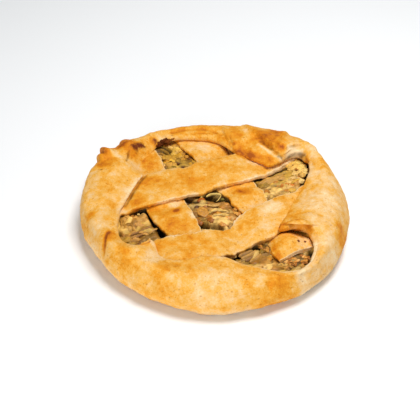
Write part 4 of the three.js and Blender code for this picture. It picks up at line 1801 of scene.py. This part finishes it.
CROWN = (
    Lump(-53.4, 70.6, 26.4, (2.2, 1.8, 1.4), "8a5428", 20),
    Lump(-51.6, 72.6, 27.6, (2.6, 2.0, 1.6), "6e3014", 20),
    Lump(-49.2, 75.0, 29.0, (3.4, 2.4, 1.6), "5a2410", -30),
    Lump(-45.6, 77.0, 29.4, (3.8, 2.2, 1.6), "4c1c0c", 15),
    Lump(-42.2, 77.0, 28.8, (2.4, 2.4, 1.4), "682c12", 60),
    Lump(-40.4, 79.2, 29.4, (2.8, 1.6, 1.2), "783c1a", -10),
    Lump(-36.8, 80.6, 29.6, (2.4, 1.4, 0.9), "9a5c2c", 30),
    Lump(-47.4, 73.6, 27.2, (3.4, 1.8, 2.0), "521e0e", 40),
    Lump(-43.8, 78.6, 30.2, (3.2, 1.6, 1.2), "5a2812", 10),
)


@dataclass
class Filling:
    """Baked vegetables under the strips: a set core, crumbs and the pieces that show in the windows.

    The bulge is a direction, its spread in degrees and how far the core stands out there. A tone and shade
    patch is x, y, radius and how much lighter the filling is; these patches paint the filling's own lighter
    and darker tones, and painted light and shade as well.
    """

    lattice: Lattice
    radius: float = 99.0
    bulge: Row = (313, 18, 3.6)
    floor: float = 5.4
    level: float = 20.9
    dome: float = 1.9
    stations: int = 440
    rings: int = 140
    crumbs: int = 220
    crumb_seed: int = 7
    crumb_reach: float = 90.0
    crumb_sizes: Row = (0.4, 1.1)
    crumb_heights: Row = (-0.6, 0.6)
    crumb_tilts: Row = (-30, 30)
    slices: int = 130
    slice_seed: int = 11
    slice_field: float = 88.0
    slice_reach: float = 86.0
    slice_lengths: Row = (5.0, 12.0)
    slice_widths: Row = (2.8, 6.4)
    slice_heights: Row = (-1.0, -0.1)
    slice_turn: float = 30
    slice_tilt: float = 10
    slice_curls: Row = (15, 60)
    slice_thicknesses: Row = (0.5, 0.9)
    rolls: Bumps = Bumps(1.3, 11, 61, 2)
    layer_warp: float = 2.2
    layer_stretch: float = 2.6
    layer_height: float = 1.1
    groove_width: float = 0.16
    groove_depth: float = 0.5
    fibre_stretch: float = 6.0
    fibre_height: float = 0.35
    tones: tuple[str, ...] = ("f8c870", "b87c2c", "d4a440", "80580f")
    crumb_tints: tuple[str, ...] = (
        *("dcb468", "d0a054", "c08c40", "a4803c"),
        *("e6c684", "c8863a", "b09440", "966428"),
    )
    flows: tuple[Flow, ...] = (
        Flow(-40, 62, -25, ("d8b040", "e6c85c", "9c8c34", "6c6420", "f4e098", "c08c38")),
        Flow(62, 35, 33, ("fae4b0", "e4c07c", "f0d078", "c08444", "dc8434", "a89450")),
        Flow(-70, -28, 78, ("d8b07c", "b48850", "dcb884", "84682f", "a87444")),
        Flow(-54, -30, 38, ("cca06c", "a07c44", "d8b07c", "805a28", "6c4820")),
        Flow(0, -8, 14, ("e4ac70", "c07c3c", "f8d4a4", "a05c20", "6c4014", "d4742c", "8c7c34")),
        Flow(28, -64, 38, ("b89448", "887838", "cca868", "5c4820", "a47430")),
        Flow(62, -68, 30, ("c89858", "a87040", "dcb48c", "84502c", "bc8048")),
    )
    hollows: tuple[Hollow, ...] = (
        Hollow(((-67, -10), (-63.3, -8.5), (-58.5, -6), (-56, -7.2)), 3.2, 8),
        Hollow(((-54.7, -5.8), (-50.1, -16.6), (-45.5, -27.2), (-41.1, -36.1), (-37.3, -43.4)), 3.4, 8),
        Hollow(((-75.4, -36.4), (-74.8, -38.7)), 1.6, 5),
        Hollow(((-6.4, 9.2), (-2.1, 8), (2.4, 6)), 4.6, 12),
        Hollow(((6.6, 6.1), (9.5, 4.8), (12, 2.9)), 2.4, 8),
        Hollow(((0, 9.5), (5, 8)), 2.4, 8),
        Hollow(((-25.3, 5.4), (-20.3, 4.1)), 2.0, 5),
        Hollow(((-9.9, 4.8), (-8.3, 7.4)), 1.6, 6),
        Hollow(((-10.8, -27.4), (-5.6, -29)), 2.6, 10),
        Hollow(((-1.2, -28.6), (4.4, -31.6)), 2.8, 10),
        Hollow(((13.6, 1), (16, -3.5)), 1.6, 5),
        Hollow(((20.7, -12.2), (23.1, -15.9)), 1.5, 5),
        Hollow(((-45, 59.5), (-43.6, 56.7)), 1.1, 5),
        Hollow(((-32.7, 51.9), (-32.3, 51.9)), 1.3, 5),
        Hollow(((-28.2, 46.3), (-27.8, 46.3)), 1.3, 5),
        Hollow(((-22.4, 58.2), (-22, 58.2)), 1.2, 5),
        Hollow(((-16.3, 55.4), (-15.9, 55.4)), 1.2, 5),
        Hollow(((33.5, 29.7), (44, 35.8), (54.5, 42), (62.6, 46.9)), 1.4, 5),
        Hollow(((75.6, 58), (79.4, 52.4), (81.2, 45.6)), 2.8, 8),
        Hollow(((78.6, 37), (77, 30), (75, 24)), 2.6, 7),
        Hollow(((-22, 1), (-14, 0)), 2.0, 4),
        Hollow(((11.2, -63.8), (18.2, -59.9), (25.2, -57.1), (32.6, -52)), 2.1, 8),
        Hollow(((33.6, -53), (37.6, -57.5)), 1.2, 4),
        Hollow(((15.8, -65.4), (18.9, -63.4)), 1.2, 4),
        Hollow(((57, -71.6), (59, -71)), 1.5, 4),
        Hollow(((68.6, -69), (71.4, -66.6)), 1.5, 4),
        Hollow(((73.6, -60), (75, -56.6)), 1.8, 5),
    )
    tone_and_shade_patches: tuple[Row, ...] = (
        (-70.9, -26.8, 9, 0.12), (-59.7, -21.5, 7, 0.08), (-50, -36, 8, -0.05), (0, -10, 24, -0.14),
        (26, -63, 13, -0.22), (-53, -33, 5, -0.18), (3.6, -15, 9, 0.12), (-15.8, -3.3, 7, -0.25),
        (14.8, -13, 5, -0.18), (-3, 3, 6, -0.2), (-17, -1, 6.5, -0.3), (-63, -44, 5, 0.4),
        (70.4, 28, 7, 0.24), (58, 14, 7, 0.18), (42, 31, 6, -0.3), (52, 29, 7, 0.12),
        (60, 30, 26, -0.2), (-44.2, 71, 7, -0.3), (-36, 61, 18, 0.24), (-31.4, 52.8, 2.2, -0.45),
        (-28, 46.8, 2.4, -0.5), (-21.8, 59, 2.4, -0.45), (-16.3, 55.5, 2.4, -0.45),
        (-43.3, 52, 4, 0.18), (39.9, -57.6, 5, -0.12), (76, -42, 7, 0.4), (60, -70.5, 2.5, -0.35),
    )
    vegetables: tuple[Vegetable, ...] = (
        Vegetable("leek_layers", VegetableFinish("soft_leek", 2.2, 0.42), LEEK),
        Vegetable("onion_layers", VegetableFinish("soft_onion", 3.0, 0.36, 0.8), ONION),
        Vegetable("mushroom_slices", VegetableFinish("browned_mushroom", 2.6, 0.5), MUSHROOM),
        Vegetable("set_curds", VegetableFinish("golden_curd", 2.0, 0.44), CURD),
        Vegetable("roasted_roots", VegetableFinish("roasted_root", 2.4, 0.4), ROOT),
        Vegetable("burnt_crown", VegetableFinish("charred_edge", 1.4, 0.8, 0.7, 0.1), CROWN),
    )

    def toned_and_shaded(self, body: Body) -> Body:
        """Lighten and darken a body's colours where the baked filling is lighter or darker, painting light
        and shade there as well.
        """
        body.marks["tint"] *= (1 + patches_at(body.vertices[:, :2], self.tone_and_shade_patches))[:, None]
        return body

    def gap(self, plan: Array) -> Array:
        """How far points of the plan lie in a sunk gap, which is painted dark as shade, from 0 to 1."""
        return np.maximum.reduce([hollow.share(plan) for hollow in self.hollows])

    def depth(self, plan: Array) -> Array:
        """How deep the filling has sunk at points of the plan."""
        return np.maximum.reduce([hollow.depth * hollow.share(plan) for hollow in self.hollows])

    def top(self, plan: Array) -> Array:
        """Height of the core's even surface."""
        return self.level + self.dome * (1 - (plan**2).sum(-1) / self.radius**2)

    def layers(self, plan: Array) -> tuple[Array, Array]:
        """Soft cooked layers that lie beside each other, running one way in each window.

        Args:
            plan: Points of the plan.

        Returns:
            Height above the even surface and colour at each point.
        """
        flat = np.concatenate([plan, np.zeros((*plan.shape[:-1], 1))], axis=-1)
        away = np.stack([np.hypot(plan[..., 0] - flow.x, plan[..., 1] - flow.y) for flow in self.flows])
        turn = np.radians(np.array([flow.turn for flow in self.flows])[away.argmin(0)])
        warp = flat + self.layer_warp * swirl(flat, 9, 64)
        along = np.cos(turn) * warp[..., 0] + np.sin(turn) * warp[..., 1]
        across = np.cos(turn) * warp[..., 1] - np.sin(turn) * warp[..., 0]
        sheet = noise(np.stack([along / self.layer_stretch, across, warp[..., 2]], axis=-1), 4.8, 67, 2)
        fibre = noise(np.stack([along / self.fibre_stretch, across, warp[..., 2]], axis=-1), 1.5, 68)
        groove = 1 - smoothstep(np.abs(sheet), 0.0, self.groove_width)
        height = self.rolls.at(flat) + self.layer_height * np.sqrt(np.abs(sheet))
        height = height - self.groove_depth * groove + self.fibre_height * fibre
        tones = [np.array(linear(code)[:3]) for code in self.tones]
        warm = smoothstep(noise(flat, 13, 69, 2), -0.7, 0.7)[..., None]
        deep = smoothstep(sheet + 0.3 * fibre, -0.7, 0.7)[..., None]
        bright, dull = (light * deep + dark * (1 - deep) for light, dark in (tones[:2], tones[2:]))
        tint = bright * warm + dull * (1 - warm)
        # Painted shade: the tint is darkened in the grooves between the layers; the fibres streak it lighter
        # and darker.
        return height, tint * (1 - 0.45 * groove + 0.22 * fibre)[..., None]

    def core_body(self) -> Body:
        """Shape the lumpy core.

        Returns:
            The closed core.
        """
        angle = np.arange(self.stations) / self.stations * FULL_TURN
        share = np.linspace(1.0, 0.01, self.rings)
        at, spread, out = self.bulge
        radius = self.radius + out * bell(turn_from(angle, at) / spread)
        plan = polar(angle[None, :], radius[None, :] * share[:, None])
        surface = np.concatenate([plan, self.top(plan)[..., None]], axis=-1)
        bare = np.minimum(*(self.lattice.outside(layer, plan) for layer in Layer))
        height, tint = self.layers(plan)
        surface[..., 2] += height - self.depth(plan) - 1.0 * (1 - smoothstep(bare, 0.0, 3.0))
        foot = polar(angle, radius - 3)
        foot = np.concatenate([foot, np.full((len(angle), 1), self.floor)], axis=1)
        grid = np.concatenate([foot[None], surface])
        # Painted shade: the core is painted nearly black in the sunk gaps and darker under and beside the
        # strips.
        light = (1 - 0.98 * self.gap(plan)) * (0.55 + 0.45 * smoothstep(bare, -1.5, 2.0))
        side = np.tile(linear(self.tones[3])[:3], (1, self.stations, 1))
        tint = np.concatenate([side, tint * light[..., None]])
        return loft(grid, np.array([0.0, 0.0, self.floor]), grid[-1].mean(0), {"tint": tint})

    def crumb_body(self) -> Body:
        """Strew small bits of vegetable over the core where no strip covers it.

        Returns:
            All the crumbs as one body.
        """
        pick = np.random.default_rng(self.crumb_seed)
        places = pick.uniform(-self.crumb_reach, self.crumb_reach, (self.crumbs * 6, 2))
        bare = self.lattice.cover(Layer.LOWER, places) + self.lattice.cover(Layer.UPPER, places) < 1.5
        inside = np.linalg.norm(places, axis=1) < self.crumb_reach
        kept = places[inside & bare & (self.gap(places) < 0.35)][: self.crumbs]
        bodies = []
        for (x, y), z in zip(kept.tolist(), self.top(kept).tolist()):
            half = tuple(pick.uniform(*self.crumb_sizes, 3).tolist())
            tint = self.crumb_tints[int(pick.integers(len(self.crumb_tints)))]
            high = z + pick.uniform(*self.crumb_heights)
            turn, tilt = pick.uniform(0, FULL_TURN / 2), pick.uniform(*self.crumb_tilts)
            bodies.append(Lump(x, y, high, half, tint, turn, tilt).body(6, 9))
        return joined(bodies)

    def slice_body(self) -> Body:
        """Lay thin slices over the core where no strip covers it, along its layers.

        Returns:
            All the slices as one body.
        """
        pick = np.random.default_rng(self.slice_seed)
        places = pick.uniform(-self.slice_field, self.slice_field, (self.slices * 8, 2))
        bare = np.minimum(*(self.lattice.outside(layer, places) for layer in Layer))
        inside = np.linalg.norm(places, axis=1) < self.slice_reach
        kept = places[inside & (bare > 1.0) & (self.gap(places) < 0.3)][: self.slices]
        height = self.top(kept) + self.layers(kept)[0]
        bodies = []
        for (x, y), z in zip(kept.tolist(), height.tolist()):
            flow = min(self.flows, key=lambda one: math.dist((x, y), (one.x, one.y)))
            long, wide = pick.uniform(*self.slice_lengths), pick.uniform(*self.slice_widths)
            tint = flow.tints[int(pick.integers(len(flow.tints)))]
            turn, tilt = flow.turn + pick.normal(0, self.slice_turn), pick.normal(0, self.slice_tilt)
            curl, thick = pick.uniform(*self.slice_curls), pick.uniform(*self.slice_thicknesses)
            high = z + pick.uniform(*self.slice_heights)
            bodies.append(Slice(x, y, high, long, wide, tint, turn, tilt, curl, thick).body())
        return joined(bodies)

    def dress(self) -> list[bpy.types.Object]:
        """Make the filling's pieces and give them their finish.

        Returns:
            The core, the crumbs, the slices and a piece for each kind of vegetable.
        """
        core = self.toned_and_shaded(self.core_body()).to_object("filling_core")
        core.data.materials.append(VegetableFinish("set_custard", 3.0, 0.5).material())
        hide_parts("filling")
        crumbs = self.toned_and_shaded(self.crumb_body()).to_object("vegetable_crumbs")
        crumbs.data.materials.append(VegetableFinish("soft_crumbs", 2.0, 0.45).material())
        slices = self.toned_and_shaded(self.slice_body()).to_object("vegetable_slices")
        slices.data.materials.append(VegetableFinish("soft_slices", 2.0, 0.36).material())
        for piece in (core, crumbs, slices):
            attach(piece, "root")
        return [core, crumbs, slices] + [vegetable.dress() for vegetable in self.vegetables]


@dataclass(frozen=True)
class Lamp:
    """A square soft light: where it hangs and its side in metres, and its power in watts."""

    name: str
    place: Row
    size: float
    watts: float


@dataclass
class Studio:
    """Pale floor, soft light and the camera, in metres."""

    elevation: float = 41.0
    distance: float = 0.75
    target: tuple[float, float, float] = (0.0, 0.0, 0.013)
    lens: float = 77.43
    sensor: float = 36.0
    shift: tuple[float, float] = (-0.0107, 0.0036)
    floor_side: float = 6.0
    floor_drop: float = 0.0004
    sky: float = 0.2
    sky_colour: Row = (0.88, 0.95, 1.0, 1.0)
    lamps: tuple[Lamp, ...] = (
        Lamp("key", (0.22, 0.08, 0.95), 0.45, 8.5),
        Lamp("front", (-0.4, -0.94, 0.24), 0.7, 7.2),
    )

    def set_floor(self) -> None:
        """Lay the floor."""
        half = self.floor_side / 2
        ways = ((-half, -half), (half, -half), (half, half), (-half, half))
        corners = [(x, y, -self.floor_drop) for x, y in ways]
        mesh = bpy.data.meshes.new("floor")
        mesh.from_pydata(corners, [], [(0, 1, 2, 3)])
        floor = bpy.data.objects.new("floor", mesh)
        bpy.context.scene.collection.objects.link(floor)
        mesh.materials.append(FloorFinish().material())

    def hang(self, lamp: Lamp) -> None:
        """Hang a light so that it faces the tart.

        Args:
            lamp: The light.
        """
        light = bpy.data.lights.new(lamp.name, "AREA")
        light.size = lamp.size
        light.energy = lamp.watts
        made = bpy.data.objects.new(lamp.name, light)
        made.location = lamp.place
        aim = Vector(self.target) - Vector(lamp.place)
        made.rotation_euler = aim.to_track_quat("-Z", "Y").to_euler()
        bpy.context.scene.collection.objects.link(made)

    def set_lights(self) -> None:
        """Light the tart softly from all round, more from above and from the front at the left."""
        world = bpy.data.worlds.new("soft_room")
        world.use_nodes = True
        ground = world.node_tree.nodes["Background"]
        ground.inputs["Color"].default_value = self.sky_colour
        ground.inputs["Strength"].default_value = self.sky
        bpy.context.scene.world = world
        for lamp in self.lamps:
            self.hang(lamp)

    def set_camera(self) -> None:
        """Stand the camera at the picture's angle."""
        camera = bpy.data.cameras.new("camera")
        camera.sensor_width = self.sensor
        camera.lens = self.lens
        camera.shift_x, camera.shift_y = self.shift
        made = bpy.data.objects.new("camera", camera)
        angle = math.radians(self.elevation)
        target = Vector(self.target)
        made.location = target + Vector((0.0, -math.cos(angle), math.sin(angle))) * self.distance
        made.rotation_euler = (target - made.location).to_track_quat("-Z", "Y").to_euler()
        bpy.context.scene.collection.objects.link(made)
        bpy.context.scene.camera = made

    def set_up(self) -> None:
        """Build the whole studio."""
        self.set_floor()
        self.set_lights()
        self.set_camera()
        bpy.context.scene.view_settings.view_transform = "Standard"


def report(pieces: Sequence[bpy.types.Object]) -> None:
    """Log each piece with its count of faces."""
    for piece in pieces:
        LOG.info("%s: %d faces", piece.name, len(piece.data.polygons))


def main() -> None:
    """Build the tart and its studio."""
    logging.basicConfig(level=logging.INFO, format="%(message)s")
    report([Crust().dress(DoughFinish("baked_dough"))])
    lattice = Lattice()
    report(lattice.dress(DoughFinish("strip_dough")))
    report(Filling(lattice).dress())
    Studio().set_up()


if __name__ == "__main__":
    main()
